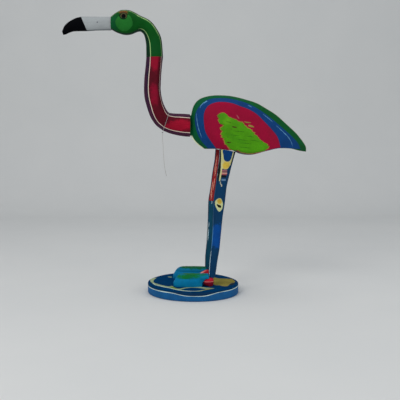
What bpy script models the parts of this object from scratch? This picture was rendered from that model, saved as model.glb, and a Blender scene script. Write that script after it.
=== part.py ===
"""A standing flamingo, carved from glued sheets of foam on steel leg rods, on a round laminated base.

The bird faces -X and its left side is -Y. Its head, neck, beak and body are stacks of sheets glued
face to face across Y and then carved round, so each sheet is a loft between outlines at growing |Y|.
The feet and the base are stacks along Z. The origin is the centre of the base's underside.
"""

import math

import bmesh
import bpy

GAP = 0.0003  # left between pieces that touch
FINE = 12  # steps along each span while a smooth curve is measured

# Base: a disc of five layers.
BASE_R = 0.130
BASE_SIDES = 56
BASE_LEVELS = (0.0, 0.0134, 0.0157, 0.0248, 0.0270, 0.0280)
BASE_TOP = BASE_LEVELS[-1]

# Legs, feet and the steel rod inside each leg.
ANKLE_Y = 0.054
HIP_Y = 0.029
ANKLE_Z = 0.0514
HIP_Z = 0.4070
RIGHT_LEG_SHIFT = -0.0025
RIGHT_LEG_LEAN = -0.0098
LEG_CORE = 0.0045
LEG_SPLAY = math.atan2(ANKLE_Y - HIP_Y, HIP_Z - ANKLE_Z)
ROD_R = 0.0030
ROD_ANKLE_X = 0.0514
ROD_SLOPE = 0.1263
ROD_BOTTOM = 0.0168
ROD_TOP = 0.4450
HEEL_TOP = 0.0500
FOOT_SPLIT = 0.0500
FOOT_TOP = 0.0620
FOOT_REAR = 0.0228
FOOT_TOP_REAR = 0.0320

# Neck and head: a thick centre core, a thin pale sheet on each side, then the outer sheets.
NECK_CORE = 0.0140
NECK_PALE = 0.0158
NECK_HALF = 0.0200
HEAD_HALF = 0.0300
HEAD_GREEN = 0.0245
CHEEK_OUT = 0.0290
BEAK_CORE = 0.0060
BEAK_HALF = 0.0175

# Body: sheets out from the centre plane.
BODY_CENTRE = 0.0015
BODY_GREEN = 0.0130
BODY_BLUE = 0.0270
BODY_MAGENTA = 0.0410
BODY_LIME = 0.0455
TOP_POINTS = 24
BELLY_POINTS = 12

# Eyes, dowels and the string.
EYE = (-0.1985, 0.7890)
EYE_R = 0.0097
PUPIL_R = 0.0058
DOWEL_R = 0.0040
NECK_DOWEL = (-0.055, 0.060, 0.4820)
BEAK_DOWEL = (-0.272, -0.200, 0.7710)
STRING_R = 0.0006
LOOP_CENTRE = (-0.0772, 0.4893)
LOOP_TILT = math.atan2(0.0173, 0.0515)
KNOT = (-0.0880, 0.4585)
KNOT_R = 0.0020


# ---------------------------------------------------------------- curves

def spline_point(before, start, end, after, t):
    """A point of the smooth curve between start and end."""
    return tuple(
        0.5 * (2 * s + (e - b) * t + (2 * b - 5 * s + 4 * e - a) * t ** 2 + (3 * s - b - 3 * e + a) * t ** 3)
        for b, s, e, a in zip(before, start, end, after)
    )


def along(points, t):
    """The point at t, counted in spans, of the smooth open curve through the points."""
    last = len(points) - 1
    span = min(int(t), last - 1)
    start, end = points[span], points[span + 1]
    before = points[span - 1] if span > 0 else tuple(2 * s - e for s, e in zip(start, end))
    after = points[span + 2] if span + 2 <= last else tuple(2 * e - s for s, e in zip(start, end))
    return spline_point(before, start, end, after, t - span)


def even_points(points, count):
    """Points at even steps of length along the smooth open curve, both ends included."""
    steps = (len(points) - 1) * FINE
    fine = [along(points, (len(points) - 1) * i / steps) for i in range(steps + 1)]
    lengths = [0.0]
    for a, b in zip(fine, fine[1:]):
        lengths.append(lengths[-1] + math.dist(a, b))
    found = []
    index = 0
    for i in range(count):
        wanted = lengths[-1] * i / (count - 1)
        while index < steps - 1 and lengths[index + 1] < wanted:
            index += 1
        share = (wanted - lengths[index]) / max(lengths[index + 1] - lengths[index], 1e-9)
        found.append(tuple(a + (b - a) * share for a, b in zip(fine[index], fine[index + 1])))
    return found


def blend(a, b, share):
    return [tuple(p + (q - p) * share for p, q in zip(one, two)) for one, two in zip(a, b)]


# ---------------------------------------------------------------- solids

def material(name, red, green, blue, roughness, metallic=0.0):
    """A Principled material whose colour is given as it looks on a screen, from 0 to 255."""
    made = bpy.data.materials.new(name)
    made.use_nodes = True
    shader = made.node_tree.nodes["Principled BSDF"]
    linear = [(c / 255) ** 2.2 for c in (red, green, blue)]
    shader.inputs["Base Color"].default_value = (*linear, 1.0)
    shader.inputs["Roughness"].default_value = roughness
    shader.inputs["Metallic"].default_value = metallic
    made.diffuse_color = (*linear, 1.0)
    return made


def add_object(name, mesh, look):
    mesh.materials.append(look)
    made = bpy.data.objects.new(name, mesh)
    bpy.context.scene.collection.objects.link(made)
    return made


def loft(name, stations, look, axis="Y"):
    """A closed solid through outlines of equal point count; each station is (offset, outline)."""
    shape = bmesh.new()
    rings = []
    for offset, outline in stations:
        if axis == "Y":
            rings.append([shape.verts.new((x, offset, z)) for x, z in outline])
        else:
            rings.append([shape.verts.new((x, y, offset)) for x, y in outline])
    for ring, other in zip(rings, rings[1:]):
        for i in range(len(ring)):
            j = (i + 1) % len(ring)
            shape.faces.new((ring[i], ring[j], other[j], other[i]))
    shape.faces.new(rings[0])
    shape.faces.new(rings[-1])
    bmesh.ops.recalc_face_normals(shape, faces=shape.faces)
    mesh = bpy.data.meshes.new(name)
    shape.to_mesh(mesh)
    shape.free()
    mesh.shade_smooth()
    mesh.set_sharp_from_angle(angle=math.radians(40))
    return add_object(name, mesh, look)


def sheet(name, outline_at, levels, side, look):
    """One foam sheet: the outlines at these distances from the centre plane, on this side of it."""
    return loft(name, [(side * level, outline_at(level)) for level in levels], look)


def rod(name, start, end, radius, look, sides=16):
    """A round bar from start to end."""
    axis = [b - a for a, b in zip(start, end)]
    length = math.hypot(*axis)
    shape = bmesh.new()
    bmesh.ops.create_cone(
        shape, cap_ends=True, segments=sides, radius1=radius, radius2=radius, depth=length
    )
    mesh = bpy.data.meshes.new(name)
    shape.to_mesh(mesh)
    shape.free()
    mesh.shade_smooth()
    mesh.set_sharp_from_angle(angle=math.radians(40))
    made = add_object(name, mesh, look)
    made.location = [(a + b) / 2 for a, b in zip(start, end)]
    made.rotation_euler = (
        math.atan2(-axis[1], math.hypot(axis[0], axis[2])),
        math.atan2(axis[0], axis[2]),
        0.0,
    )
    made.rotation_mode = "YXZ"
    return made


def cut(piece, cutter):
    """Takes the cutter's shape out of the piece."""
    cutter.hide_render = True
    cutter.display_type = "WIRE"
    modifier = piece.modifiers.new("cut_" + cutter.name, "BOOLEAN")
    modifier.operation = "DIFFERENCE"
    modifier.solver = "EXACT"
    modifier.object = cutter


def tube(name, points, radius, look, closed=False):
    """A cord through the points."""
    curve = bpy.data.curves.new(name, "CURVE")
    curve.dimensions = "3D"
    curve.bevel_depth = radius
    curve.bevel_resolution = 2
    curve.use_fill_caps = not closed
    spline = curve.splines.new("POLY")
    spline.points.add(len(points) - 1)
    for point, place in zip(spline.points, points):
        point.co = (*place, 1.0)
    spline.use_cyclic_u = closed
    curve.materials.append(look)
    made = bpy.data.objects.new(name, curve)
    bpy.context.scene.collection.objects.link(made)
    return made


# ---------------------------------------------------------------- carved limbs

def limb_outline(stations, count, level, roundness):
    """The side outline, at this distance from the centre plane, of a limb with rounded sections.

    A station is (front x, front z, back x, back z, half thickness, ridge). The ridge is where the
    section is thickest, from 0 at the front edge to 1 at the back one. Where the limb is thinner
    than the level, the outline stops.
    """
    tried = [(len(stations) - 1) * i / 80 for i in range(81)]
    inside = [t for t in tried if along(stations, t)[4] > level * 1.015 + 0.0002]
    low, high = inside[0], inside[-1]
    front, back = [], []
    for i in range(count):
        fx, fz, bx, bz, half, ridge = along(stations, low + (high - low) * i / (count - 1))
        keep = (1 - (level / half) ** roundness) ** (1 / roundness)
        rx, rz = fx + (bx - fx) * ridge, fz + (bz - fz) * ridge
        front.append((rx + (fx - rx) * keep, rz + (fz - rz) * keep))
        back.append((rx + (bx - rx) * keep, rz + (bz - rz) * keep))
    return front + back[::-1]


def limb_sheets(prefix, stations, count, roundness, layers):
    """The sheets of a limb; a layer is (name, side, levels, look)."""
    made = {}
    for name, side, levels, look in layers:
        outlines = []
        for level in levels:
            outlines.append((side * level, limb_outline(stations, count, abs(level), roundness)))
        made[name] = loft(prefix + name, outlines, look)
    return made


def both_sides(name, levels, look):
    return [(name + "_left", -1, levels, look), (name + "_right", 1, levels, look)]


# ---------------------------------------------------------------- base

def circle(radius, ripple=0.0):
    """A ring of points; the ripple makes it wander in and out like a torn edge."""
    found = []
    for i in range(BASE_SIDES):
        turn = 2 * math.pi * i / BASE_SIDES
        r = radius + ripple * (math.sin(2 * turn + 0.6) + 0.5 * math.sin(5 * turn + 1.0))
        found.append((r * math.cos(turn), r * math.sin(turn)))
    return found


def make_base(looks):
    names = ("bottom", "lower_cream", "middle", "upper_cream", "top")
    rims = (
        (BASE_R - 0.0012, BASE_R, BASE_R),
        (BASE_R, BASE_R, BASE_R),
        (BASE_R, BASE_R - 0.0002, BASE_R - 0.0008),
        (BASE_R - 0.0010, BASE_R - 0.0016, BASE_R - 0.0028),
        (BASE_R - 0.0100, BASE_R - 0.0102, BASE_R - 0.0108),
    )
    made = {}
    for i, (name, radii) in enumerate(zip(names, rims)):
        low = BASE_LEVELS[i] + (GAP if i else 0.0)
        high = BASE_LEVELS[i + 1]
        ripple = 0.0025 if name == "top" else 0.0
        levels = (low, low + 0.35 * (high - low), high)
        stations = [(z, circle(r, ripple)) for z, r in zip(levels, radii)]
        made[name] = loft(f"base_{name}_sheet", stations, looks[name], axis="Z")
    return made


# ---------------------------------------------------------------- feet

FOOT_SIDE = (
    (0.0228, 0.0150), (0.0050, 0.0215), (-0.0200, 0.0238), (-0.0420, 0.0200), (-0.0540, 0.0090),
    (-0.0570, 0.0),
)


def foot_outline(centre_y, inset, rear=FOOT_REAR):
    """Half the foot's plan, from the straight rear edge to the toe, and its mirror image."""
    half = even_points(((rear, FOOT_SIDE[0][1]),) + FOOT_SIDE[1:], 11)
    middle_x = -0.017
    whole = half + [(x, -y) for x, y in half[-2::-1]]
    shrink_x = 1 - inset / 0.040
    shrink_y = 1 - inset / 0.024
    found = []
    for x, y in whole:
        moved = middle_x + (x - middle_x) * shrink_x
        found.append((min(moved, rear), centre_y + y * shrink_y))
    return found


def heel_outline(centre_y, grow):
    """A rounded block with a blunt point at the front."""
    front, back, half = 0.0232 - grow, 0.0575 + grow * 0.3, 0.0150 + grow * 0.3
    corners = [(front, -half * 0.72), (front, half * 0.72)]
    arc = []
    for i in range(11):
        turn = math.pi / 2 - math.pi * i / 10
        arc.append((back - half + half * math.cos(turn), half * math.sin(turn)))
    return [(x, centre_y + y) for x, y in corners + arc]


def make_foot(word, side, looks):
    y = side * ANKLE_Y
    sole_levels = ((BASE_TOP + GAP, 0.0014), (0.0330, 0.0), (0.0440, 0.0004), (FOOT_SPLIT, 0.0024))
    sole = [(z, foot_outline(y, inset)) for z, inset in sole_levels]
    loft(f"{word}_foot_sole", sole, looks["teal"], axis="Z")
    top_levels = ((FOOT_SPLIT + GAP, 0.0026), (0.0560, 0.0056), (0.0600, 0.0105), (FOOT_TOP, 0.0165))
    top = [(z, foot_outline(y, inset, FOOT_TOP_REAR)) for z, inset in top_levels]
    loft(f"{word}_foot_top", top, looks["foot_green"], axis="Z")
    split = 0.0405
    full = heel_outline(y, 0.0)
    lower = [(BASE_TOP + GAP, heel_outline(y, -0.001)), (split, full)]
    upper = [(split + GAP, full), (0.0465, full), (HEEL_TOP, heel_outline(y, -0.003))]
    return [
        loft(f"{word}_heel_lower", lower, looks["heel"], axis="Z"),
        loft(f"{word}_heel_upper", upper, looks["heel"], axis="Z"),
    ]


# ---------------------------------------------------------------- legs

LEG = (
    (0.0425, 0.0514, 0.0598, 0.0514, 0.0092, 0.5),
    (0.0418, 0.0655, 0.0622, 0.0655, 0.0096, 0.5),
    (0.0438, 0.0980, 0.0671, 0.0980, 0.0104, 0.5),
    (0.0482, 0.1320, 0.0728, 0.1320, 0.0108, 0.5),
    (0.0526, 0.1860, 0.0785, 0.1860, 0.0112, 0.5),
    (0.0545, 0.2260, 0.0830, 0.2260, 0.0118, 0.5),
    (0.0556, 0.2600, 0.0888, 0.2600, 0.0128, 0.5),
    (0.0617, 0.3010, 0.0935, 0.3010, 0.0120, 0.5),
    (0.0660, 0.3400, 0.1022, 0.3390, 0.0118, 0.5),
    (0.0714, 0.3770, 0.1115, 0.3750, 0.0120, 0.5),
    (0.0738, 0.4117, 0.1200, 0.4030, 0.0122, 0.5),
)


def leg_shift(side, z):
    """How far ahead of the left leg this leg stands at height z."""
    return RIGHT_LEG_SHIFT + RIGHT_LEG_LEAN * (z - ANKLE_Z) if side > 0 else 0.0


def rod_point(side, z):
    """The point of a leg rod's centre line at height z."""
    rise = z - ANKLE_Z
    x = ROD_ANKLE_X + leg_shift(side, z) + ROD_SLOPE * rise
    return (x, side * (ANKLE_Y - math.tan(LEG_SPLAY) * rise), z)


def make_leg(word, side, looks):
    """A leg in its own upright frame, then leaned in towards the hip; returns its core and the rod."""
    local = []
    for fx, fz, bx, bz, half, ridge in LEG:
        front, back = fx + leg_shift(side, fz), bx + leg_shift(side, bz)
        local.append((front, fz - ANKLE_Z, back, bz - ANKLE_Z, half, ridge))
    outer = (LEG_CORE + GAP, 0.0075, 0.0090, 0.0104, 0.0114)
    core = (LEG_CORE, 0.0, -LEG_CORE)
    layers = [
        ("outer", side, outer, looks["leg_" + word]),
        ("core", side, core, looks["leg_core"]),
        ("inner", -side, outer, looks["leg_inner"]),
    ]
    made = limb_sheets(f"{word}_leg_", local, 14, 2.2, layers)
    for piece in made.values():
        piece.location = (0.0, side * ANKLE_Y, ANKLE_Z)
        piece.rotation_euler = (side * LEG_SPLAY, 0.0, 0.0)
    low, high = (rod_point(side, z) for z in (ROD_BOTTOM, ROD_TOP))
    rod(f"{word}_leg_rod", low, high, ROD_R, looks["steel"])
    low, high = (rod_point(side, z) for z in (ROD_BOTTOM - GAP, ROD_TOP + GAP))
    return made["core"], rod(f"{word}_rod_hole", low, high, ROD_R + GAP, looks["steel"])


# ---------------------------------------------------------------- body

BACK = (
    (0.0330, 0.4114), (0.0080, 0.4322), (-0.0050, 0.4550), (-0.0080, 0.4820), (-0.0035, 0.5200),
    (0.0060, 0.5428), (0.0210, 0.5563), (0.0480, 0.5644), (0.0800, 0.5660), (0.1140, 0.5632),
    (0.1500, 0.5545), (0.1834, 0.5437), (0.2065, 0.5308), (0.2400, 0.5095), (0.2758, 0.4774),
    (0.2989, 0.4554), (0.3210, 0.4270), (0.3265, 0.4140), (0.3265, 0.4035),
)
GREEN_EDGE = (
    (0.0430, 0.4118), (0.0198, 0.4351), (0.0070, 0.4600), (0.0005, 0.4867), (0.0010, 0.5080),
    (0.0080, 0.5290), (0.0211, 0.5452), (0.0440, 0.5595), (0.0800, 0.5620), (0.1128, 0.5588),
    (0.1587, 0.5450), (0.2046, 0.5181), (0.2504, 0.4808), (0.2963, 0.4378), (0.3110, 0.4120),
)
BLUE_EDGE = (
    (0.0650, 0.4125), (0.0487, 0.4349), (0.0345, 0.4600), (0.0300, 0.4862), (0.0310, 0.5140),
    (0.0431, 0.5347), (0.0659, 0.5441), (0.0886, 0.5448), (0.1114, 0.5412), (0.1342, 0.5325),
    (0.1569, 0.5243), (0.1797, 0.5105), (0.2025, 0.4885), (0.2253, 0.4640), (0.2400, 0.4440),
    (0.2480, 0.4160),
)
LIME_EDGE = (
    (0.1120, 0.4070), (0.0900, 0.4250), (0.0770, 0.4500), (0.0720, 0.4800), (0.0760, 0.5060),
    (0.0900, 0.5110), (0.1120, 0.5010), (0.1383, 0.4862), (0.1707, 0.4588), (0.2040, 0.4289),
    (0.2080, 0.4080),
)
LIME_TOP = (
    (0.1250, 0.4075), (0.1080, 0.4280), (0.0990, 0.4520), (0.0960, 0.4740), (0.1020, 0.4850),
    (0.1150, 0.4820), (0.1350, 0.4700), (0.1600, 0.4500), (0.1830, 0.4250), (0.1830, 0.4075),
)
BELLY = (
    (0.0340, 0.4116), (0.0700, 0.4115), (0.1100, 0.4080), (0.1350, 0.3975), (0.1700, 0.3945),
    (0.2150, 0.4060), (0.2600, 0.4152), (0.3000, 0.4110), (0.3265, 0.4035),
)
BODY_KEYS = (
    (0.0, BACK, 0.0),
    (BODY_GREEN, GREEN_EDGE, 0.0010),
    (BODY_BLUE, BLUE_EDGE, 0.0020),
    (BODY_MAGENTA, LIME_EDGE, 0.0045),
    (0.0475, LIME_TOP, 0.0100),
)


def belly_height(x):
    """The height of the underside at x."""
    low, high = 0.0, float(len(BELLY) - 1)
    for _ in range(30):
        middle = (low + high) / 2
        if along(BELLY, middle)[0] < x:
            low = middle
        else:
            high = middle
    return along(BELLY, low)[1]


def key_outline(edge, rise):
    """A closed outline: the carved edge over the back, then the underside from the tail forwards."""
    top = even_points(edge, TOP_POINTS)
    start, end = top[-1], top[0]
    under = []
    for i in range(1, BELLY_POINTS):
        share = i / BELLY_POINTS
        x = start[0] + (end[0] - start[0]) * share
        ease = min(1.0, 6 * share, 6 * (1 - share))
        straight = start[1] + (end[1] - start[1]) * share
        under.append((x, straight + (belly_height(x) + rise - straight) * ease))
    return top + under


def body_outline(level):
    """The outline at this distance from the centre plane, smoothly between the key outlines."""
    keys = [(at, key_outline(edge, rise)) for at, edge, rise in BODY_KEYS]
    index = max(i for i in range(len(keys) - 1) if keys[i][0] <= level)
    (low, first), (high, second) = keys[index], keys[index + 1]
    share = (level - low) / (high - low)
    if index == 0:
        share = share ** 1.7
    if index == 2:
        share = share ** 1.35
    return blend(first, second, share)


def make_body(looks):
    middle = [(y, body_outline(0.0)) for y in (-BODY_CENTRE, BODY_CENTRE)]
    made = {"centre": loft("body_centre_sheet", middle, looks["cream"])}
    layers = (
        ("green", (BODY_CENTRE + GAP, 0.0055, 0.0095, BODY_GREEN)),
        ("blue", (BODY_GREEN + GAP, 0.0200, BODY_BLUE)),
        ("magenta", (BODY_BLUE + GAP, 0.0310, 0.0360, BODY_MAGENTA)),
        ("lime", (BODY_MAGENTA + GAP, 0.0440, BODY_LIME)),
    )
    for name, levels in layers:
        for word, side in (("left", -1), ("right", 1)):
            look = looks["body_" + name]
            made[f"{name}_{word}"] = sheet(f"body_{name}_{word}", body_outline, levels, side, look)
    return made


# ---------------------------------------------------------------- neck

NECK_TOP_Z = 0.6757
NECK_MIDDLE = (
    (-0.1348, NECK_TOP_Z - GAP, -0.0866, NECK_TOP_Z - GAP, NECK_HALF, 0.72),
    (-0.1368, 0.6503, -0.0894, 0.6503, NECK_HALF, 0.78),
    (-0.1400, 0.6214, -0.0915, 0.6243, NECK_HALF, 0.78),
    (-0.1414, 0.5954, -0.0929, 0.5983, NECK_HALF, 0.78),
    (-0.1414, 0.5752, -0.0929, 0.5781, NECK_HALF, 0.78),
    (-0.1391, 0.5550, -0.0897, 0.5579, NECK_HALF, 0.78),
    (-0.1327, 0.5308, -0.0848, 0.5412, NECK_HALF, 0.74),
    (-0.1229, 0.5036, -0.0779, 0.5267, NECK_HALF, 0.66),
    (-0.1076, 0.4805, -0.0726, 0.5192, NECK_HALF, 0.58),
    (-0.0870, 0.4641, -0.0686, 0.5154, NECK_HALF, 0.52),
)
NECK_LOWER = (
    (-0.0865, 0.4639, -0.0681, 0.5153, NECK_HALF, 0.52),
    (-0.0660, 0.4556, -0.0540, 0.5135, NECK_HALF, 0.50),
    (-0.0432, 0.4500, -0.0346, 0.5130, NECK_HALF, 0.50),
    (-0.0250, 0.4474, -0.0210, 0.5122, NECK_HALF, 0.50),
    (-0.0086, 0.4462, -0.0086, 0.5112, NECK_HALF, 0.50),
)


def make_neck(looks):
    outer = (NECK_PALE + GAP, 0.0175, 0.0188, 0.0195)
    layers = [("core", 1, (-NECK_CORE, -0.0085, 0.0, 0.0085, NECK_CORE), looks["purple"])]
    layers += both_sides("cream", (NECK_CORE + GAP, NECK_PALE), looks["cream"])
    layers += both_sides("outer", outer, looks["maroon"])
    limb_sheets("neck_middle_", NECK_MIDDLE, 20, 2.0, layers)
    made = {}
    for name, side, levels, look in layers:
        outlines = [(side * level, limb_outline(NECK_LOWER, 9, abs(level), 2.0)) for level in levels]
        finish = looks["crimson"] if "outer" in name else look
        made[name] = loft("neck_lower_" + name, outlines, finish)
    return made


# ---------------------------------------------------------------- head and beak

HEAD = (
    (-0.2360, 0.7531, -0.2360, 0.7932, 0.0240, 0.50),
    (-0.2208, 0.7447, -0.2246, 0.8022, 0.0275, 0.50),
    (-0.2041, 0.7389, -0.2104, 0.8105, HEAD_HALF, 0.50),
    (-0.1911, 0.7372, -0.1963, 0.8122, HEAD_HALF, 0.50),
    (-0.1781, 0.7389, -0.1807, 0.8105, 0.0290, 0.50),
    (-0.1665, 0.7441, -0.1665, 0.8040, 0.0265, 0.50),
    (-0.1575, 0.7488, -0.1524, 0.7958, 0.0240, 0.52),
    (-0.1498, 0.7490, -0.1330, 0.7870, 0.0222, 0.56),
    (-0.1421, 0.7415, -0.1189, 0.7765, 0.0212, 0.62),
    (-0.1382, 0.7300, -0.1047, 0.7583, 0.0205, 0.68),
    (-0.1356, 0.7145, -0.0943, 0.7389, NECK_HALF, 0.72),
    (-0.1351, 0.6991, -0.0891, 0.7150, NECK_HALF, 0.76),
    (-0.1347, NECK_TOP_Z, -0.0866, NECK_TOP_Z, NECK_HALF, 0.76),
)
CHEEK = (
    (-0.2120, 0.7900), (-0.2220, 0.7740), (-0.2160, 0.7570), (-0.2010, 0.7475), (-0.1860, 0.7500),
    (-0.1735, 0.7640), (-0.1750, 0.7800), (-0.1830, 0.7920), (-0.1980, 0.7950),
)
BEAK = (
    (-0.2364, 0.7537, -0.2364, 0.7924, BEAK_HALF, 0.5),
    (-0.2713, 0.7534, -0.2713, 0.7924, 0.0165, 0.5),
    (-0.3050, 0.7514, -0.3228, 0.7926, 0.0135, 0.5),
)
BEAK_TIP = (
    (-0.3054, 0.7514, -0.3232, 0.7926, 0.0134, 0.5),
    (-0.3230, 0.7512, -0.3380, 0.7890, 0.0118, 0.5),
    (-0.3440, 0.7503, -0.3515, 0.7825, 0.0102, 0.5),
    (-0.3570, 0.7465, -0.3625, 0.7750, 0.0088, 0.5),
    (-0.3665, 0.7418, -0.3715, 0.7655, 0.0070, 0.5),
    (-0.3745, 0.7402, -0.3778, 0.7510, 0.0046, 0.5),
)


def cheek_outline(level):
    """The cheek sheet's outline, smaller further out."""
    share = (level - HEAD_GREEN) / (HEAD_HALF - HEAD_GREEN)
    scale = math.sqrt(max(0.0, 1 - 0.86 * share * share))
    loop = even_points(CHEEK + CHEEK[:1], 25)[:-1]
    return [(-0.1975 + (x + 0.1975) * scale, 0.7710 + (z - 0.7710) * scale) for x, z in loop]


def make_head(looks):
    green = (NECK_PALE + GAP, 0.0180, 0.0194, 0.0210, 0.0226, HEAD_GREEN)
    layers = [("core", 1, (-NECK_CORE, -0.0085, 0.0, 0.0085, NECK_CORE), looks["dark_green"])]
    layers += both_sides("pale", (NECK_CORE + GAP, NECK_PALE), looks["pale_green"])
    layers += both_sides("green", green, looks["head_green"])
    made = limb_sheets("head_", HEAD, 22, 2.0, layers)
    for word, side in (("left", -1), ("right", 1)):
        levels = (HEAD_GREEN + GAP, 0.0268, CHEEK_OUT)
        made["cheek_" + word] = sheet("head_cheek_" + word, cheek_outline, levels, side, looks["cheek"])
    return made


def make_beak(looks):
    layers = [("core", 1, (-BEAK_CORE, 0.0, BEAK_CORE), looks["beak_grey"])]
    layers += both_sides("side", (BEAK_CORE + GAP, 0.0095, 0.0122, 0.0145), looks["beak_white"])
    made = limb_sheets("beak_", BEAK, 7, 2.2, layers)
    tip = [("tip", 1, (-0.0118, -0.0095, -0.0060, 0.0, 0.0060, 0.0095, 0.0118), looks["black"])]
    limb_sheets("beak_", BEAK_TIP, 12, 2.2, tip)
    return made


def make_eye(word, side, looks):
    """A flat ring with a domed pupil on it; returns the cutter of its socket."""
    x, z = EYE
    ends = (x, side * 0.0225, z), (x, side * 0.0284, z)
    rod(f"eye_ring_{word}", ends[0], ends[1], EYE_R - GAP, looks["tan"], sides=24)
    stations = []
    for level, share in ((0.0287, 1.0), (0.0294, 0.92), (0.0299, 0.68), (0.0301, 0.40)):
        ring = []
        for i in range(16):
            turn = 2 * math.pi * i / 16
            ring.append((x + PUPIL_R * share * math.cos(turn), z + PUPIL_R * share * math.sin(turn)))
        stations.append((side * level, ring))
    loft(f"eye_pupil_{word}", stations, looks["black"])
    ends = (x, side * 0.0222, z), (x, side * 0.0400, z)
    return rod(f"eye_socket_{word}", ends[0], ends[1], EYE_R, looks["tan"], sides=24)


# ---------------------------------------------------------------- string

STRING_TAIL = (
    (-0.0882, 0.4560), (-0.0880, 0.4480), (-0.0874, 0.4343), (-0.0862, 0.4196), (-0.0853, 0.3962),
    (-0.0838, 0.3780), (-0.0822, 0.3607), (-0.0790, 0.3440), (-0.0762, 0.3328),
)


def make_string(looks):
    """A thin string tied round the neck's lower seam, with its free end hanging."""
    ring = []
    along_neck = (-math.sin(LOOP_TILT), -math.cos(LOOP_TILT))
    for i in range(40):
        turn = 2 * math.pi * i / 40
        reach, out = 0.0290 * math.cos(turn), 0.0214 * math.sin(turn)
        x = LOOP_CENTRE[0] + along_neck[0] * reach
        ring.append((x, out, LOOP_CENTRE[1] + along_neck[1] * reach))
    tube("string_loop", ring, STRING_R, looks["string"], closed=True)
    knot = []
    for share, lift in ((0.45, -0.9), (0.85, -0.5), (1.0, 0.0), (0.85, 0.5), (0.45, 0.9)):
        circle_points = []
        for i in range(10):
            turn = 2 * math.pi * i / 10
            reach = KNOT_R * share
            circle_points.append((KNOT[0] + reach * math.cos(turn), reach * math.sin(turn)))
        knot.append((KNOT[1] + KNOT_R * lift, circle_points))
    loft("string_knot", knot, looks["string"], axis="Z")
    tube("string_tail", [(x, 0.0, z) for x, z in even_points(STRING_TAIL, 40)], STRING_R, looks["string"])


# ---------------------------------------------------------------- assembly

def make_looks():
    return {
        "bottom": material("base_blue_foam", 40, 112, 178, 0.6),
        "lower_cream": material("base_cream_foam", 214, 216, 178, 0.7),
        "middle": material("base_navy_foam", 14, 66, 112, 0.6),
        "upper_cream": material("base_yellow_foam", 206, 204, 150, 0.7),
        "top": material("base_top_navy_foam", 10, 74, 128, 0.6),
        "teal": material("foot_teal_foam", 10, 136, 190, 0.6),
        "foot_green": material("foot_green_foam", 14, 126, 70, 0.6),
        "heel": material("heel_red_foam", 200, 34, 56, 0.6),
        "leg_left": material("left_leg_blue_foam", 8, 74, 136, 0.6),
        "leg_right": material("right_leg_blue_foam", 12, 78, 120, 0.6),
        "leg_core": material("leg_core_foam", 16, 60, 92, 0.6),
        "leg_inner": material("leg_inner_foam", 168, 40, 52, 0.6),
        "steel": material("rod_steel", 150, 152, 155, 0.35, 1.0),
        "cream": material("cream_foam", 222, 218, 196, 0.7),
        "body_green": material("body_green_foam", 12, 110, 66, 0.6),
        "body_blue": material("body_blue_foam", 10, 88, 160, 0.6),
        "body_magenta": material("body_magenta_foam", 190, 22, 70, 0.6),
        "body_lime": material("body_lime_foam", 104, 190, 34, 0.6),
        "purple": material("neck_purple_foam", 74, 44, 84, 0.6),
        "maroon": material("neck_maroon_foam", 128, 16, 42, 0.6),
        "crimson": material("neck_crimson_foam", 178, 18, 56, 0.6),
        "dark_green": material("head_dark_green_foam", 8, 66, 34, 0.6),
        "pale_green": material("head_pale_foam", 160, 200, 140, 0.7),
        "head_green": material("head_green_foam", 6, 106, 42, 0.6),
        "cheek": material("cheek_green_foam", 44, 150, 58, 0.6),
        "beak_grey": material("beak_grey_foam", 168, 172, 172, 0.65),
        "beak_white": material("beak_white_foam", 224, 228, 226, 0.65),
        "black": material("black_foam", 18, 18, 20, 0.5),
        "tan": material("eye_tan_foam", 190, 150, 92, 0.6),
        "wood": material("dowel_wood", 196, 160, 112, 0.7),
        "string": material("string_cotton", 214, 212, 202, 0.9),
    }


def main():
    for old in list(bpy.data.objects):
        bpy.data.objects.remove(old, do_unlink=True)
    looks = make_looks()
    base = make_base(looks)
    body = make_body(looks)
    neck = make_neck(looks)
    head = make_head(looks)
    beak = make_beak(looks)
    for word, side in (("left", -1), ("right", 1)):
        heels = make_foot(word, side, looks)
        core, hole = make_leg(word, side, looks)
        holed = [base["middle"], base["upper_cream"], base["top"], core]
        for piece in holed + heels + [body[f"blue_{word}"], body[f"magenta_{word}"]]:
            cut(piece, hole)
        socket = make_eye(word, side, looks)
        cut(head[f"cheek_{word}"], socket)
        cut(head[f"green_{word}"], socket)
    for name, (start, end, z), pieces in (
        ("neck_dowel", NECK_DOWEL, (neck["core"], body["centre"], body["green_left"], body["green_right"])),
        ("beak_dowel", BEAK_DOWEL, (beak["core"], head["core"])),
    ):
        rod(name, (start, 0.0, z), (end, 0.0, z), DOWEL_R, looks["wood"])
        hole = rod(name + "_hole", (start - GAP, 0.0, z), (end + GAP, 0.0, z), DOWEL_R + GAP, looks["wood"])
        for piece in pieces:
            cut(piece, hole)
    make_string(looks)


main()
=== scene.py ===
import math

import bmesh
import bpy
import numpy as np
from mathutils import Matrix, Vector, noise
from mathutils.bvhtree import BVHTree
from mathutils.geometry import delaunay_2d_cdt


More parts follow.
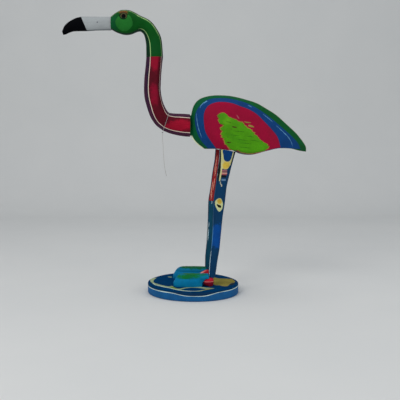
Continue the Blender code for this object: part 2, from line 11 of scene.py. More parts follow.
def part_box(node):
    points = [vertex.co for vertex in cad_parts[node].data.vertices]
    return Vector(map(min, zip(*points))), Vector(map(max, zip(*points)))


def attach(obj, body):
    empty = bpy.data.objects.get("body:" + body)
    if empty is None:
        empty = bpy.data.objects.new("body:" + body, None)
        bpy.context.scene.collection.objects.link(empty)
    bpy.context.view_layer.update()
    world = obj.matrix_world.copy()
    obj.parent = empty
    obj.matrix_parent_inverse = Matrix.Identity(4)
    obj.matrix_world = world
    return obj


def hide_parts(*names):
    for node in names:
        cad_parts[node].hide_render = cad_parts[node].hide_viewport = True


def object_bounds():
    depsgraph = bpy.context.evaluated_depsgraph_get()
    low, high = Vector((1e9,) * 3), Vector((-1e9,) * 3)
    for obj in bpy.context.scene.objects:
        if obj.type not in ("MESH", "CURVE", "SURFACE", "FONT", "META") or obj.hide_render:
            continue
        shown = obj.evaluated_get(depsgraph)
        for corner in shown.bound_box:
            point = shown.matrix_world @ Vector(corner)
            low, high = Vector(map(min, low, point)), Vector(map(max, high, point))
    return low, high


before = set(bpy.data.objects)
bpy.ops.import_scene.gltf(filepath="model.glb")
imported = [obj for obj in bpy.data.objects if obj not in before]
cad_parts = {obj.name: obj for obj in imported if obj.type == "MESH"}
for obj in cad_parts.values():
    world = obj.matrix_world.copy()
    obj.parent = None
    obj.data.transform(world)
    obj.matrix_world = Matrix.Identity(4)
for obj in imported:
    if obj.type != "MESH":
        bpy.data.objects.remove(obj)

CAD_BOX = [np.array(tuple(corner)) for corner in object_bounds()]
SIDES = (("left", -1), ("right", 1))
FILM = 0.00005  # between two glued sheets

# ---------------------------------------------------------------- curves


def spline_point(before, start, end, after, t):
    """A point of the smooth curve between start and end."""
    return tuple(
        0.5 * (2 * s + (e - b) * t + (2 * b - 5 * s + 4 * e - a) * t ** 2 + (3 * s - b - 3 * e + a) * t ** 3)
        for b, s, e, a in zip(before, start, end, after)
    )


def along(points, t):
    """The point at t, counted in spans, of the smooth open curve through the points."""
    last = len(points) - 1
    span = min(int(t), last - 1)
    start, end = points[span], points[span + 1]
    before = points[span - 1] if span > 0 else tuple(2 * s - e for s, e in zip(start, end))
    after = points[span + 2] if span + 2 <= last else tuple(2 * e - s for s, e in zip(start, end))
    return spline_point(before, start, end, after, t - span)


def line_lengths(line):
    """How far along the line each of its points is."""
    return np.concatenate([[0.0], np.cumsum(np.linalg.norm(np.diff(line, axis=0), axis=1))])


def even_points(points, count, fine=14):
    """Points at even steps of length along the smooth open curve, both ends included."""
    steps = (len(points) - 1) * fine
    line = np.array([along(points, (len(points) - 1) * i / steps) for i in range(steps + 1)])
    lengths = line_lengths(line)
    wanted = np.linspace(0.0, lengths[-1], count)
    return np.stack([np.interp(wanted, lengths, column) for column in line.T], axis=1)


def smooth_step(low, high, value):
    """Goes smoothly from 0 at low to 1 at high."""
    t = np.clip((value - low) / (high - low), 0.0, 1.0)
    return t * t * (3 - 2 * t)


def ripple(place, size, seed=0.0):
    """Smooth noise from -1 to 1 whose features are about this size."""
    x, y, z = place
    return noise.noise(Vector((x / size + seed, y / size - seed, z / size + 2 * seed)))


# ---------------------------------------------------------------- meshes

GROOVE = 0.00022
RELIEF = 0.00022
RELIEF_SIZE = 0.016
SKIN_LIFT, SKIN_DEPTH = 0.00004, 0.0006  # a skin's outer and inner face, from the surface it lies on
NET_ROW, NET_CLEAR = 0.87, 0.45  # the gap between a skin net's rows, and from its rim, as shares of its step


def finish_mesh(name, points, faces, look, sharp=48):
    """A closed mesh object with outward faces, smooth where it is round."""
    mesh = bpy.data.meshes.new(name)
    mesh.from_pydata([tuple(p) for p in np.clip(np.array(points), *CAD_BOX)], [], faces)
    shape = bmesh.new()
    shape.from_mesh(mesh)
    bmesh.ops.remove_doubles(shape, verts=shape.verts, dist=1e-6)
    bmesh.ops.recalc_face_normals(shape, faces=shape.faces)
    shape.to_mesh(mesh)
    shape.free()
    mesh.shade_smooth()
    mesh.set_sharp_from_angle(angle=math.radians(sharp))
    mesh.materials.append(look)
    made = bpy.data.objects.new(name, mesh)
    bpy.context.scene.collection.objects.link(made)
    return made


def ring_faces(rows, count, closed=False):
    """The four-sided faces between neighbouring rings of this many points."""
    faces = []
    for i in range(rows if closed else rows - 1):
        low, high = i * count, (i + 1) % rows * count
        for j in range(count):
            k = (j + 1) % count
            faces.append((low + j, low + k, high + k, high + j))
    return faces


def end_caps(rows, count):
    """One flat face on the first ring and one on the last."""
    return [tuple(range(count))[::-1], tuple((rows - 1) * count + k for k in range(count))]


def sheet_normals(grid):
    """Outward unit normals of a stack of closed rings."""
    around = np.roll(grid, -1, axis=1) - np.roll(grid, 1, axis=1)
    across = np.gradient(grid, axis=0)
    normals = np.cross(around, across)
    size = np.linalg.norm(normals, axis=2, keepdims=True)
    normals = normals / np.maximum(size, 1e-12)
    centre = grid.mean(axis=1, keepdims=True)
    if (normals * (grid - centre)).sum() < 0:
        normals = -normals
    return normals


def carved(name, stations, look, axis="Y", warp=None, relief=RELIEF, groove=GROOVE, sharp=48):
    """One sheet of foam: rings at rising offsets, a V groove at each glued face, and carving marks.

    A station is (offset, rail, other rail): two rows of points of equal count that run the same way.
    The offset is one number, or one for each point of a rail.
    """
    grid = []
    for offset, rail, other in stations:
        ring = np.concatenate([rail, other[::-1]])
        offsets = np.broadcast_to(offset, len(rail))
        column = np.concatenate([offsets, offsets[::-1]])[:, None]
        if axis == "Y":
            grid.append(np.concatenate([ring[:, :1], column, ring[:, 1:]], axis=1))
        else:
            grid.append(np.concatenate([ring, column], axis=1))
    grid = np.array(grid)
    if warp is not None:
        grid = warp(grid)
    normals = sheet_normals(grid)
    marks = np.zeros(grid.shape[:2])
    if relief:
        for i, ring in enumerate(grid):
            for j, place in enumerate(ring):
                marks[i, j] = ripple(place, RELIEF_SIZE) + 0.4 * ripple(place, RELIEF_SIZE / 2.7, 7.0)
    grid = grid + normals * (marks * relief)[..., None]
    if groove:
        first, last = grid[0] - normals[0] * groove, grid[-1] - normals[-1] * groove
        inner = 0.25 if len(grid) > 2 else 0.15
        grid[0] += (grid[1] - grid[0]) * min(inner, 1.0)
        grid[-1] += (grid[-2] - grid[-1]) * min(inner, 1.0)
        grid = np.concatenate([first[None], grid, last[None]])
    rows, count = grid.shape[:2]
    faces = ring_faces(rows, count)
    half = count // 2
    for start in (0, (rows - 1) * count):
        for j in range(half - 1):
            faces.append((start + j, start + j + 1, start + count - 2 - j, start + count - 1 - j))
    return finish_mesh(name, grid.reshape(-1, 3), faces, look, sharp)


def wears(piece, slot, *nodes):
    """The piece rides with the object and stands for these nodes; the slot is not used."""
    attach(piece, "root")
    if nodes:
        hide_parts(*nodes)
    return piece


def surface_of(pieces):
    """A search tree over the outer surfaces of these pieces."""
    points, faces = [], []
    for piece in pieces:
        start = len(points)
        world = piece.matrix_world
        points += [world @ v.co for v in piece.data.vertices]
        faces += [[start + i for i in p.vertices] for p in piece.data.polygons]
    return BVHTree.FromPolygons(points, faces)


def inside(points, outline):
    """Which points lie inside the closed outline."""
    x, y = points[:, 0], points[:, 1]
    found = np.zeros(len(points), bool)
    for (ax, ay), (bx, by) in zip(outline, np.roll(outline, -1, axis=0)):
        crosses = (ay > y) != (by > y)
        slope = (bx - ax) / (by - ay if by != ay else 1e-12)
        found ^= crosses & (x < ax + (y - ay) * slope)
    return found


def closed_curve(points, step):
    """The smooth closed curve through the points, at about this spacing."""
    points = [tuple(p) for p in points]
    wrapped = points[-2:] + points + points[:3]
    steps = len(points) * 10
    line = np.array([along(wrapped, 2 + len(points) * i / steps) for i in range(steps)])
    ring = np.concatenate([line, line[:1]])
    lengths = line_lengths(ring)
    wanted = np.linspace(0.0, lengths[-1], max(8, int(lengths[-1] / step)), endpoint=False)
    return np.stack([np.interp(wanted, lengths, column) for column in ring.T], axis=1)


def ragged(outline, depth, size, seed):
    """The outline with torn edges: noise pushes each point in or out."""
    following = np.roll(outline, -1, axis=0) - np.roll(outline, 1, axis=0)
    across = np.stack([following[:, 1], -following[:, 0]], axis=1)
    across /= np.maximum(np.linalg.norm(across, axis=1, keepdims=True), 1e-9)
    push = [ripple((x, seed, y), size) + 0.5 * ripple((x, seed, y), size / 2.3, 3.0) for x, y in outline]
    return outline + across * (np.array(push) * depth)[:, None]


CALM_Z, WILD_Z = 0.5120, 0.4960  # above and below these heights the tear is weakest and strongest


def torn(outline, reach, size, seed):
    """The outline torn along flat strokes: each height is pushed sideways, less so at the top."""
    push = []
    for x, z in outline:
        wild = 0.25 + 0.75 * float(smooth_step(CALM_Z, WILD_Z, z))
        place = Vector((seed + x / 0.06, 0.0, z / size + 0.3 * math.floor(seed)))
        push.append(reach * wild * noise.noise(place))
    return outline + np.stack([np.array(push), np.zeros(len(push))], axis=1)


def inlay(name, outline, target, look, side=-1, proud=0.0003, edge=0.0012, step=0.0012, axis="Y", fine=0.0):
    """A thin skin with this outline, laid on the target's surface and swelling a little inside its edge.

    The outline is seen along the axis. Fine is the size of the skin's own small bumps.
    """
    rim = np.array(outline)
    low, high = rim.min(axis=0), rim.max(axis=0)
    rows = []
    for i, v in enumerate(np.arange(low[1], high[1], step * NET_ROW)):
        shift = 0.5 * step * (i % 2)
        rows += [(u + shift, v) for u in np.arange(low[0], high[0], step)]
    loose = np.array(rows).reshape(-1, 2)
    loose = loose[inside(loose, rim)]
    if len(loose):
        gap = np.array([np.sqrt(((rim - p) ** 2).sum(axis=1).min()) for p in loose])
        loose = loose[gap > step * NET_CLEAR]
    edges = [(i, (i + 1) % len(rim)) for i in range(len(rim))]
    found = delaunay_2d_cdt([Vector(p) for p in np.concatenate([rim, loose])], edges, [], 0, 1e-7)
    flat = np.array([tuple(p) for p in found[0]])
    triangles = np.array([f for f in found[2] if len(f) == 3])
    triangles = triangles[inside(flat[triangles].mean(axis=1), rim)]
    away = Vector((0, side, 0)) if axis == "Y" else Vector((0, 0, 1))
    top, under = [], []
    for u, v in flat:
        place = Vector((u, 0, v)) if axis == "Y" else Vector((u, v, 0))
        hit, normal, _, _ = target.ray_cast(place + away * 0.3, -away)
        if hit is None:
            hit, normal, _, _ = target.find_nearest(place + away * 0.02)
        if normal.dot(away) < 0:
            normal = -normal
        gap = math.sqrt(((rim - (u, v)) ** 2).sum(axis=1).min())
        inward = float(smooth_step(0.0, edge, gap))
        swell = proud * inward + SKIN_LIFT
        swell += fine * ripple((u, 0.0, v), 0.0035, 5.0) * inward
        top.append(hit + normal * swell)
        under.append(hit - normal * SKIN_DEPTH)
    count = len(flat)
    faces = [tuple(t) for t in triangles] + [tuple(i + count for i in t[::-1]) for t in triangles]
    seen = {}
    for a, b, c in triangles:
        seen.update({(a, b): True, (b, c): True, (c, a): True})
    for start, end in seen:
        if (end, start) not in seen:
            faces.append((end, start, start + count, end + count))
    used = sorted({i for f in faces for i in f})
    index = {old: new for new, old in enumerate(used)}
    every = top + under
    faces = [tuple(index[i] for i in f) for f in faces]
    return finish_mesh(name, [every[i] for i in used], faces, look, 60)


def laid_skin(name, outline, target, look, side, slot, *nodes, **shape):
    """An inlay on the target's surface that stands for these nodes; the slot is not used."""
    return wears(inlay(name, outline, target, look, side, **shape), slot, *nodes)


def tube_mesh(path, radius, sides=8, closed=False):
    """Points and faces of a round tube along the path, with flat ends."""
    path = [Vector(p) for p in path]
    count = len(path)
    points = []
    side = Vector((0, 1, 0))
    for i, here in enumerate(path):
        after = path[(i + 1) % count] if closed else path[min(i + 1, count - 1)]
        before = path[i - 1] if closed or i else path[0]
        ahead = (after - before).normalized()
        side = (side - ahead * side.dot(ahead)).normalized()
        up = ahead.cross(side)
        for k in range(sides):
            turn = 2 * math.pi * k / sides
            points.append(here + (side * math.cos(turn) + up * math.sin(turn)) * radius)
    return points, ring_faces(count, sides, closed) + ([] if closed else end_caps(count, sides))


# ---------------------------------------------------------------- materials


def node(tree, kind, inputs, **settings):
    """Adds a shader node; an input is a value or another node's output socket."""
    made = tree.nodes.new(kind)
    for key, value in settings.items():
        setattr(made, key, value)
    for key, value in inputs.items():
        if isinstance(value, bpy.types.NodeSocket):
            tree.links.new(value, made.inputs[key])
        else:
            made.inputs[key].default_value = value
    return made


def linear(colour, gain=1.0):
    """A colour given as it looks on a screen, from 0 to 255, as linear light."""
    found = []
    for c in colour:
        c = c / 255
        found.append(min(1.0, gain * (c / 12.92 if c <= 0.04045 else ((c + 0.055) / 1.055) ** 2.4)))
    return (*found, 1.0)


def mixed(tree, share, first, second, blend="MIX"):
    """Two colours mixed by a share; returns the output socket."""
    inputs = {0: share, 6: first, 7: second}
    return node(tree, "ShaderNodeMix", inputs, data_type="RGBA", blend_type=blend).outputs[2]


def ranged(tree, value, low, high, to_low=0.0, to_high=1.0, smooth=False):
    """The value's range mapped onto another; returns the output socket."""
    inputs = {"Value": value, "From Min": low, "From Max": high, "To Min": to_low, "To Max": to_high}
    kind = "SMOOTHSTEP" if smooth else "LINEAR"
    return node(tree, "ShaderNodeMapRange", inputs, interpolation_type=kind).outputs["Result"]


def arithmetic(tree, operation, first, second):
    """Two numbers combined; returns the output socket."""
    return node(tree, "ShaderNodeMath", {0: first, 1: second}, operation=operation).outputs[0]


def new_material(name):
    """A material, its node tree, its shader and the object's own coordinates."""
    made = bpy.data.materials.new(name)
    made.use_nodes = True
    tree = made.node_tree
    return made, tree, tree.nodes["Principled BSDF"], node(tree, "ShaderNodeTexCoord", {}).outputs["Object"]


BRIGHT = 1.22  # the foam's own colour against how it looks in the room's dim light


def foam(
    name, colour, patches=(), roughness=0.62, variation=0.16, pores=0.35, bump=0.55, gain=BRIGHT,
    specular=0.09,
):
    """Sanded sole foam: cloudy colour, fine open pores and sanding scratches.

    A patch is (centre, radii, turn about Y in degrees, colour, softness): another layer showing through; on
    the heel wedge, a painted highlight and painted shade.
    """
    made, tree, shader, place = new_material(name)
    cloud = node(
        tree, "ShaderNodeTexNoise", {"Vector": place, "Scale": 34.0, "Detail": 4.0, "Roughness": 0.6},
    )
    grain = node(
        tree, "ShaderNodeTexNoise", {"Vector": place, "Scale": 420.0, "Detail": 5.0, "Roughness": 0.7},
    )
    cells = node(tree, "ShaderNodeTexVoronoi", {"Vector": place, "Scale": 1500.0, "Randomness": 1.0})
    stretch = node(tree, "ShaderNodeMapping", {"Vector": place, "Scale": (90.0, 260.0, 1500.0)})
    stretch.inputs["Rotation"].default_value = (0.0, 0.5, 0.25)
    scratch = node(tree, "ShaderNodeTexNoise", {"Vector": stretch.outputs[0], "Scale": 1.0, "Detail": 3.0})
    base = linear(colour, gain)
    now = mixed(tree, 0.0, base, base)
    for centre, radii, turn, other, soft in patches:
        local = node(tree, "ShaderNodeMapping", {"Vector": place, "Location": centre, "Scale": radii})
        local.vector_type = "TEXTURE"
        local.inputs["Rotation"].default_value = (0.0, math.radians(turn), 0.0)
        reach = node(tree, "ShaderNodeVectorMath", {0: local.outputs[0]}, operation="LENGTH").outputs["Value"]
        tatter = node(
            tree, "ShaderNodeTexNoise",
            {"Vector": place, "Scale": 90.0, "Detail": 5.0, "Roughness": 0.65},
        )
        wander = ranged(tree, tatter.outputs["Fac"], 0.3, 0.7, -0.25 - 0.3 * soft, 0.25 + 0.3 * soft)
        reach = arithmetic(tree, "ADD", reach, wander)
        share = ranged(tree, reach, 1.0 - soft, 1.0 + soft, 1.0, 0.0, smooth=True)
        now = mixed(tree, share, now, linear(other, gain))
    shade = ranged(tree, cloud.outputs["Fac"], 0.3, 0.7, 1.0 - variation, 1.0 + variation)
    fine = ranged(tree, grain.outputs["Fac"], 0.3, 0.7, 1.0 - 0.5 * variation, 1.0 + 0.5 * variation)
    shade = arithmetic(tree, "MULTIPLY", shade, fine)
    pits = ranged(tree, cells.outputs["Distance"], 0.05, 0.3, 1.0 - pores, 1.0)
    shade = arithmetic(tree, "MULTIPLY", shade, pits)
    rubbed = ranged(tree, scratch.outputs["Fac"], 0.55, 0.78, 1.0, 1.22)
    shade = arithmetic(tree, "MULTIPLY", shade, rubbed)
    grey = node(tree, "ShaderNodeCombineXYZ", {0: shade, 1: shade, 2: shade}).outputs[0]
    now = mixed(tree, 1.0, now, grey, "MULTIPLY")
    tree.links.new(now, shader.inputs["Base Color"])
    rough = ranged(tree, cloud.outputs["Fac"], 0.3, 0.7, roughness - 0.07, roughness + 0.09)
    tree.links.new(rough, shader.inputs["Roughness"])
    shader.inputs["Specular IOR Level"].default_value = specular
    height = arithmetic(tree, "ADD", pits, ranged(tree, grain.outputs["Fac"], 0.0, 1.0, 0.0, 0.9))
    height = arithmetic(tree, "ADD", height, ranged(tree, scratch.outputs["Fac"], 0.0, 1.0, 0.0, 0.8))
    relief = node(tree, "ShaderNodeBump", {"Height": height, "Strength": bump, "Distance": 0.00025})
    tree.links.new(relief.outputs[0], shader.inputs["Normal"])
    return made


def glossy(name, colour):
    """A hard varnished dot with faint cloudiness."""
    made = foam(name, colour, roughness=0.4, variation=0.1, pores=0.05, bump=0.06, gain=1.0, specular=0.03)
    shader = made.node_tree.nodes["Principled BSDF"]
    shader.inputs["Coat Weight"].default_value = 0.04
    shader.inputs["Coat Roughness"].default_value = 0.3
    return made


def cotton(name, colour):
    """Twisted string: fine fibres along the strand."""
    made = foam(name, colour, roughness=0.85, variation=0.25, pores=0.1, bump=0.8, gain=1.3)
    made.node_tree.nodes["Principled BSDF"].inputs["Sheen Weight"].default_value = 0.3
    return made


def plain_bar(name, colour, metallic, roughness, stretch):
    """Drawn steel or turned wood, with streaks along the bar."""
    made, tree, shader, place = new_material(name)
    local = node(tree, "ShaderNodeMapping", {"Vector": place, "Scale": stretch})
    streak = node(tree, "ShaderNodeTexNoise", {"Vector": local.outputs[0], "Scale": 1.0, "Detail": 5.0})
    dark, light = linear([c * 0.72 for c in colour]), linear(colour)
    tree.links.new(mixed(tree, streak.outputs["Fac"], dark, light), shader.inputs["Base Color"])
    rough = ranged(tree, streak.outputs["Fac"], 0.3, 0.7, roughness - 0.08, roughness + 0.08)
    tree.links.new(rough, shader.inputs["Roughness"])
    shader.inputs["Metallic"].default_value = metallic
    relief = node(
        tree, "ShaderNodeBump", {"Height": streak.outputs["Fac"], "Strength": 0.3, "Distance": 0.0002},
    )
    tree.links.new(relief.outputs[0], shader.inputs["Normal"])
    return made


# ---------------------------------------------------------------- camera, light and floor

CAMERA_PLACE = (-0.075, -1.894, 0.415)
CAMERA_LENS = 59.04
CAMERA_SHIFT = (0.0825, -0.131)


def make_camera():
    data = bpy.data.cameras.new("camera")
    data.lens = CAMERA_LENS
    data.sensor_width = 36.0
    data.shift_x, data.shift_y = CAMERA_SHIFT
    data.clip_start = 0.05
    made = bpy.data.objects.new("camera", data)
    made.location = CAMERA_PLACE
    made.rotation_euler = (math.pi / 2, 0.0, 0.0)
    bpy.context.scene.collection.objects.link(made)
    bpy.context.scene.camera = made


def area_light(name, place, aim, size, power, tint=(1.0, 1.0, 1.0)):
    data = bpy.data.lights.new(name, "AREA")
    data.shape = "RECTANGLE"
    data.size, data.size_y = size
    data.energy = power
    data.color = tint
    made = bpy.data.objects.new(name, data)
    made.location = place
    made.rotation_euler = (Vector(aim) - Vector(place)).to_track_quat("-Z", "Y").to_euler()
    bpy.context.scene.collection.objects.link(made)


def make_stage():
    """A pale floor that sweeps up into a pale wall."""
    back, half, bend, height = 2.7, 6.0, 0.7, 4.0
    profile = [(-6.0, 0.0), (back - bend, 0.0)]
    for i in range(1, 13):
        turn = math.pi / 2 * i / 12
        profile.append((back - bend + bend * math.sin(turn), bend - bend * math.cos(turn)))
    profile.append((back, height))
    points = [(x, y, z - 0.0004) for y, z in profile for x in (-half, half)]
    faces = [(2 * i, 2 * i + 1, 2 * i + 3, 2 * i + 2) for i in range(len(profile) - 1)]
    mesh = bpy.data.meshes.new("floor")
    mesh.from_pydata(points, [], faces)
    mesh.shade_smooth()
    look, tree, shader, place = new_material("floor_pale")
    cloud = node(tree, "ShaderNodeTexNoise", {"Vector": place, "Scale": 3.0, "Detail": 3.0})
    pale = mixed(tree, cloud.outputs["Fac"], linear((218, 220, 220)), linear((225, 226, 225)))
    tree.links.new(pale, shader.inputs["Base Color"])
    shader.inputs["Roughness"].default_value = 0.85
    mesh.materials.append(look)
    made = bpy.data.objects.new("floor", mesh)
    bpy.context.scene.collection.objects.link(made)


def make_light():
    world = bpy.data.worlds.new("studio")
    bpy.context.scene.world = world
    world.use_nodes = True
    background = world.node_tree.nodes["Background"]
    background.inputs[0].default_value = (0.93, 0.96, 1.0, 1.0)
    background.inputs[1].default_value = 0.42
    area_light("key", (-1.6, -2.4, 2.3), (0.0, 0.0, 0.4), (1.8, 1.8), 44.0, (1.0, 0.985, 0.96))
    area_light("fill", (2.4, -1.6, 1.3), (0.0, 0.0, 0.4), (2.0, 2.0), 15.0, (0.95, 0.98, 1.0))
    area_light("top", (0.2, 0.2, 2.9), (0.0, 0.0, 0.3), (1.6, 1.6), 12.0)
    bpy.context.scene.view_settings.view_transform = "Standard"


# ---------------------------------------------------------------- string

STRING_R = 0.0006
STRING_TAIL = (
    (-0.0882, 0.4560), (-0.0880, 0.4480), (-0.0874, 0.4343), (-0.0862, 0.4196), (-0.0853, 0.3962),
    (-0.0838, 0.3780), (-0.0822, 0.3607), (-0.0790, 0.3440), (-0.0762, 0.3328),
)
LOOP_CENTRE = (-0.0772, 0.4893)
LOOP_TILT = math.atan2(0.0173, 0.0515)
LOOP_LONG, LOOP_WIDE = 0.0290, 0.0214
PLIES, PLY_R, PLY_PITCH = 3, 0.00029, 0.0042


def twisted(path, closed=False):
    """The plies of a string along the path, each a thin helix round it."""
    path = [Vector(p) for p in path]
    points, faces = [], []
    total = sum((b - a).length for a, b in zip(path, path[1:]))
    turns = max(1, round(total / PLY_PITCH))
    for ply in range(PLIES):
        helix = []
        side = Vector((0.0, 1.0, 0.0))
        for i, here in enumerate(path):
            ahead = (path[min(i + 1, len(path) - 1)] - path[max(i - 1, 0)]).normalized()
            side = (side - ahead * side.dot(ahead)).normalized()
            up = ahead.cross(side)
            turn = 2 * math.pi * (turns * i / (len(path) - 1) + ply / PLIES)
            helix.append(here + (side * math.cos(turn) + up * math.sin(turn)) * (STRING_R - PLY_R))
        new_points, new_faces = tube_mesh(helix[:-1] if closed else helix, PLY_R, 6, closed)
        faces += [tuple(i + len(points) for i in f) for f in new_faces]
        points += new_points
    return points, faces


def make_string():
    look = cotton("string_cotton", (158, 152, 150))
    knotted = cotton("string_knot_cotton", (52, 48, 48))
    dense = [(float(x), 0.0, float(z)) for x, z in even_points(STRING_TAIL, 260)]
    points, faces = twisted(dense)
    tail = wears(finish_mesh("string_free_end", points, faces, look), "string_cotton", "string_tail")
    low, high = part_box("string_knot")
    centre = (low + high) / 2
    radius = (high.x - low.x) / 2
    knot_path = []
    for i in range(120):
        t = 2 * math.pi * i / 120
        x, y, z = math.sin(t) + 2 * math.sin(2 * t), math.cos(t) - 2 * math.cos(2 * t), -1.6 * math.sin(3 * t)
        knot_path.append(centre + Vector((x, y, z)) * (radius - 0.0006) / 3.0)
    points, faces = tube_mesh(knot_path, 0.00055, 8, closed=True)
    knot = wears(finish_mesh("string_overhand_knot", points, faces, knotted), "string_cotton", "string_knot")
    ring = []
    down = Vector((-math.sin(LOOP_TILT), 0.0, -math.cos(LOOP_TILT)))
    for i in range(241):
        turn = 2 * math.pi * i / 240
        place = Vector((LOOP_CENTRE[0], LOOP_WIDE * math.sin(turn), LOOP_CENTRE[1]))
        ring.append(place + down * LOOP_LONG * math.cos(turn))
    points, faces = twisted(ring, closed=True)
    wears(finish_mesh("string_round_neck", points, faces, look), "string_cotton", "string_loop")


# ---------------------------------------------------------------- limbs with rounded sections


TO_RIDGE = 0.9993  # how much of a limb's half thickness its shell reaches


def section_ends(station, level, roundness):
    """Front and back of a rounded section at this distance from its centre plane."""
    fx, fz, bx, bz, half, ridge = station
    keep = (1 - min(level / half, 0.99995) ** roundness) ** (1 / roundness)
    rx, rz = fx + (bx - fx) * ridge, fz + (bz - fz) * ridge
    return (rx + (fx - rx) * keep, rz + (fz - rz) * keep), (rx + (bx - rx) * keep, rz + (bz - rz) * keep)


def limb_rails(stations, level, roundness, count):
    """Front and back rails of a limb at this distance from its centre plane."""
    last = len(stations) - 1
    tried = np.linspace(0.0, last, 161)
    thick = np.array([along(stations, t)[4] for t in tried])
    open_at = tried[thick > level * 1.0005 + 0.00004]
    low, high = open_at[0], open_at[-1]
    ends = [section_ends(along(stations, t), level, roundness) for t in np.linspace(low, high, count)]
    return np.array([front for front, _ in ends]), np.array([back for _, back in ends])


def rounding(low, high, steps):
    """Levels from low to high that crowd together towards high, where the section turns over."""
    return [low + (high - low) * math.sin(math.pi / 2 * i / steps) for i in range(steps + 1)]


def limb_piece(name, stations, levels, side, look, roundness=2.0, count=110, **more):
    rows = []
    for level in levels:
        front, back = limb_rails(stations, abs(level), roundness, count)
        rows.append((side * level, front, back))
    return carved(name, rows, look, **more)


def limb_shell(name, stations, low, side, look, steps=14, roundness=2.0, count=110, **more):
    """The outermost sheet of a limb, from this distance out to the limb's own rounded surface."""
    rows = []
    for i in range(steps + 1):
        share = math.sin(math.pi / 2 * i / steps)
        offsets, fronts, backs = [], [], []
        for t in np.linspace(0.0, len(stations) - 1, count):
            station = along(stations, t)
            level = low + (TO_RIDGE * station[4] - low) * share
            front, back = section_ends(station, level, roundness)
            offsets.append(side * level)
            fronts.append(front)
            backs.append(back)
        rows.append((np.array(offsets), np.array(fronts), np.array(backs)))
    return carved(name, rows, look, **more)


# ---------------------------------------------------------------- neck and head

NECK_CORE, NECK_PALE, NECK_HALF = 0.0145, 0.0155, 0.0200
HEAD_HALF = 0.0300
SEAM_Z = 0.6757
HEAD_TUCK = 0.0030
HEAD = (
    (-0.2360, 0.7531, -0.2360, 0.7932, 0.0240, 0.50),
    (-0.2208, 0.7447, -0.2246, 0.8022, 0.0275, 0.50),
    (-0.2041, 0.7389, -0.2104, 0.8105, HEAD_HALF, 0.50),
    (-0.1911, 0.7372, -0.1963, 0.8122, HEAD_HALF, 0.50),
    (-0.1781, 0.7389, -0.1807, 0.8105, 0.0290, 0.50),
    (-0.1665, 0.7441, -0.1665, 0.8040, 0.0265, 0.50),
    (-0.1575, 0.7488, -0.1524, 0.7958, 0.0240, 0.52),
    (-0.1498, 0.7490, -0.1330, 0.7870, 0.0222, 0.56),
    (-0.1421, 0.7415, -0.1189, 0.7765, 0.0212, 0.62),
    (-0.1382, 0.7300, -0.1047, 0.7583, 0.0205, 0.68),
    (-0.1356, 0.7145, -0.0943, 0.7389, NECK_HALF, 0.72),
    (-0.1351, 0.6991, -0.0891, 0.7150, NECK_HALF, 0.76),
    (-0.1347, SEAM_Z, -0.0866, SEAM_Z, NECK_HALF, 0.76),
)
NECK_MIDDLE = (
    (-0.1348, SEAM_Z - 0.0003, -0.0866, SEAM_Z - 0.0003, NECK_HALF, 0.72),
    (-0.1368, 0.6503, -0.0894, 0.6503, NECK_HALF, 0.78),
    (-0.1400, 0.6214, -0.0915, 0.6243, NECK_HALF, 0.78),
    (-0.1414, 0.5954, -0.0929, 0.5983, NECK_HALF, 0.78),
    (-0.1414, 0.5752, -0.0929, 0.5781, NECK_HALF, 0.78),
    (-0.1391, 0.5550, -0.0897, 0.5579, NECK_HALF, 0.78),
    (-0.1327, 0.5308, -0.0848, 0.5412, NECK_HALF, 0.74),
    (-0.1229, 0.5036, -0.0779, 0.5267, NECK_HALF, 0.66),
    (-0.1076, 0.4805, -0.0726, 0.5192, NECK_HALF, 0.58),
    (-0.0870, 0.4641, -0.0686, 0.5154, NECK_HALF, 0.52),
)
NECK_LOWER = (
    (-0.0865, 0.4639, -0.0681, 0.5153, NECK_HALF, 0.52),
    (-0.0660, 0.4556, -0.0540, 0.5135, NECK_HALF, 0.50),
    (-0.0432, 0.4500, -0.0346, 0.5130, NECK_HALF, 0.50),
    (-0.0250, 0.4474, -0.0210, 0.5122, NECK_HALF, 0.50),
    (-0.0086, 0.4462, -0.0086, 0.5112, NECK_HALF, 0.50),
)
CHEEK = (
    (-0.2120, 0.7900), (-0.2220, 0.7740), (-0.2160, 0.7570), (-0.2010, 0.7475), (-0.1860, 0.7500),
    (-0.1735, 0.7640), (-0.1750, 0.7800), (-0.1830, 0.7920), (-0.1980, 0.7950),
)
EYE = (-0.1985, 0.7890)
NAPE_LINE = (
    (-0.1640, 0.7976), (-0.1497, 0.7878), (-0.1324, 0.7806), (-0.1181, 0.7732), (-0.1070, 0.7590),
    (-0.0972, 0.7352),
)
JOG_Z, JOG = 0.5895, 0.0016


def neck_warp(grid):
    """Glue lines wander a little, and the pale sheet steps inwards half way down the neck's front."""
    made = grid.copy()
    depth = np.abs(grid[..., 1])
    share = smooth_step(0.002, 0.011, depth) * (1 - smooth_step(0.0158, 0.0200, depth))
    x, z = grid[..., 0], grid[..., 2]
    wander = 0.00045 * np.sin(41 * z + 60 * x) + 0.0003 * np.sin(137 * z - 55 * x + 1.0)
    step = JOG * (1 - smooth_step(JOG_Z - 0.0008, JOG_Z + 0.0008, z)) * smooth_step(0.545, 0.575, z)
    step = step * (1 - smooth_step(-0.112, -0.100, x))
    made[..., 1] += np.sign(grid[..., 1]) * share * (wander - step)
    return made


CORE_LEVELS = (-NECK_CORE, -0.012, -0.008, -0.004, 0.0, 0.004, 0.008, 0.012, NECK_CORE)
PALE_LEVELS = (NECK_CORE + FILM, (NECK_CORE + NECK_PALE) / 2, NECK_PALE)


def make_tongue(looks):
    """A thin filler where the neck goes into the body."""
    x = NECK_LOWER[-1][0] - 0.0006
    tongue = ((x, 0.4490, x, 0.5085, NECK_HALF, 0.50), (0.0060, 0.4520, 0.0060, 0.5060, NECK_HALF, 0.50))
    levels = [level * 0.3 for level in CORE_LEVELS]
    piece = limb_piece("neck_tongue_in_body", tongue, levels, 1, looks["body_green"], count=12, groove=0.0)
    wears(piece, "green_foam")


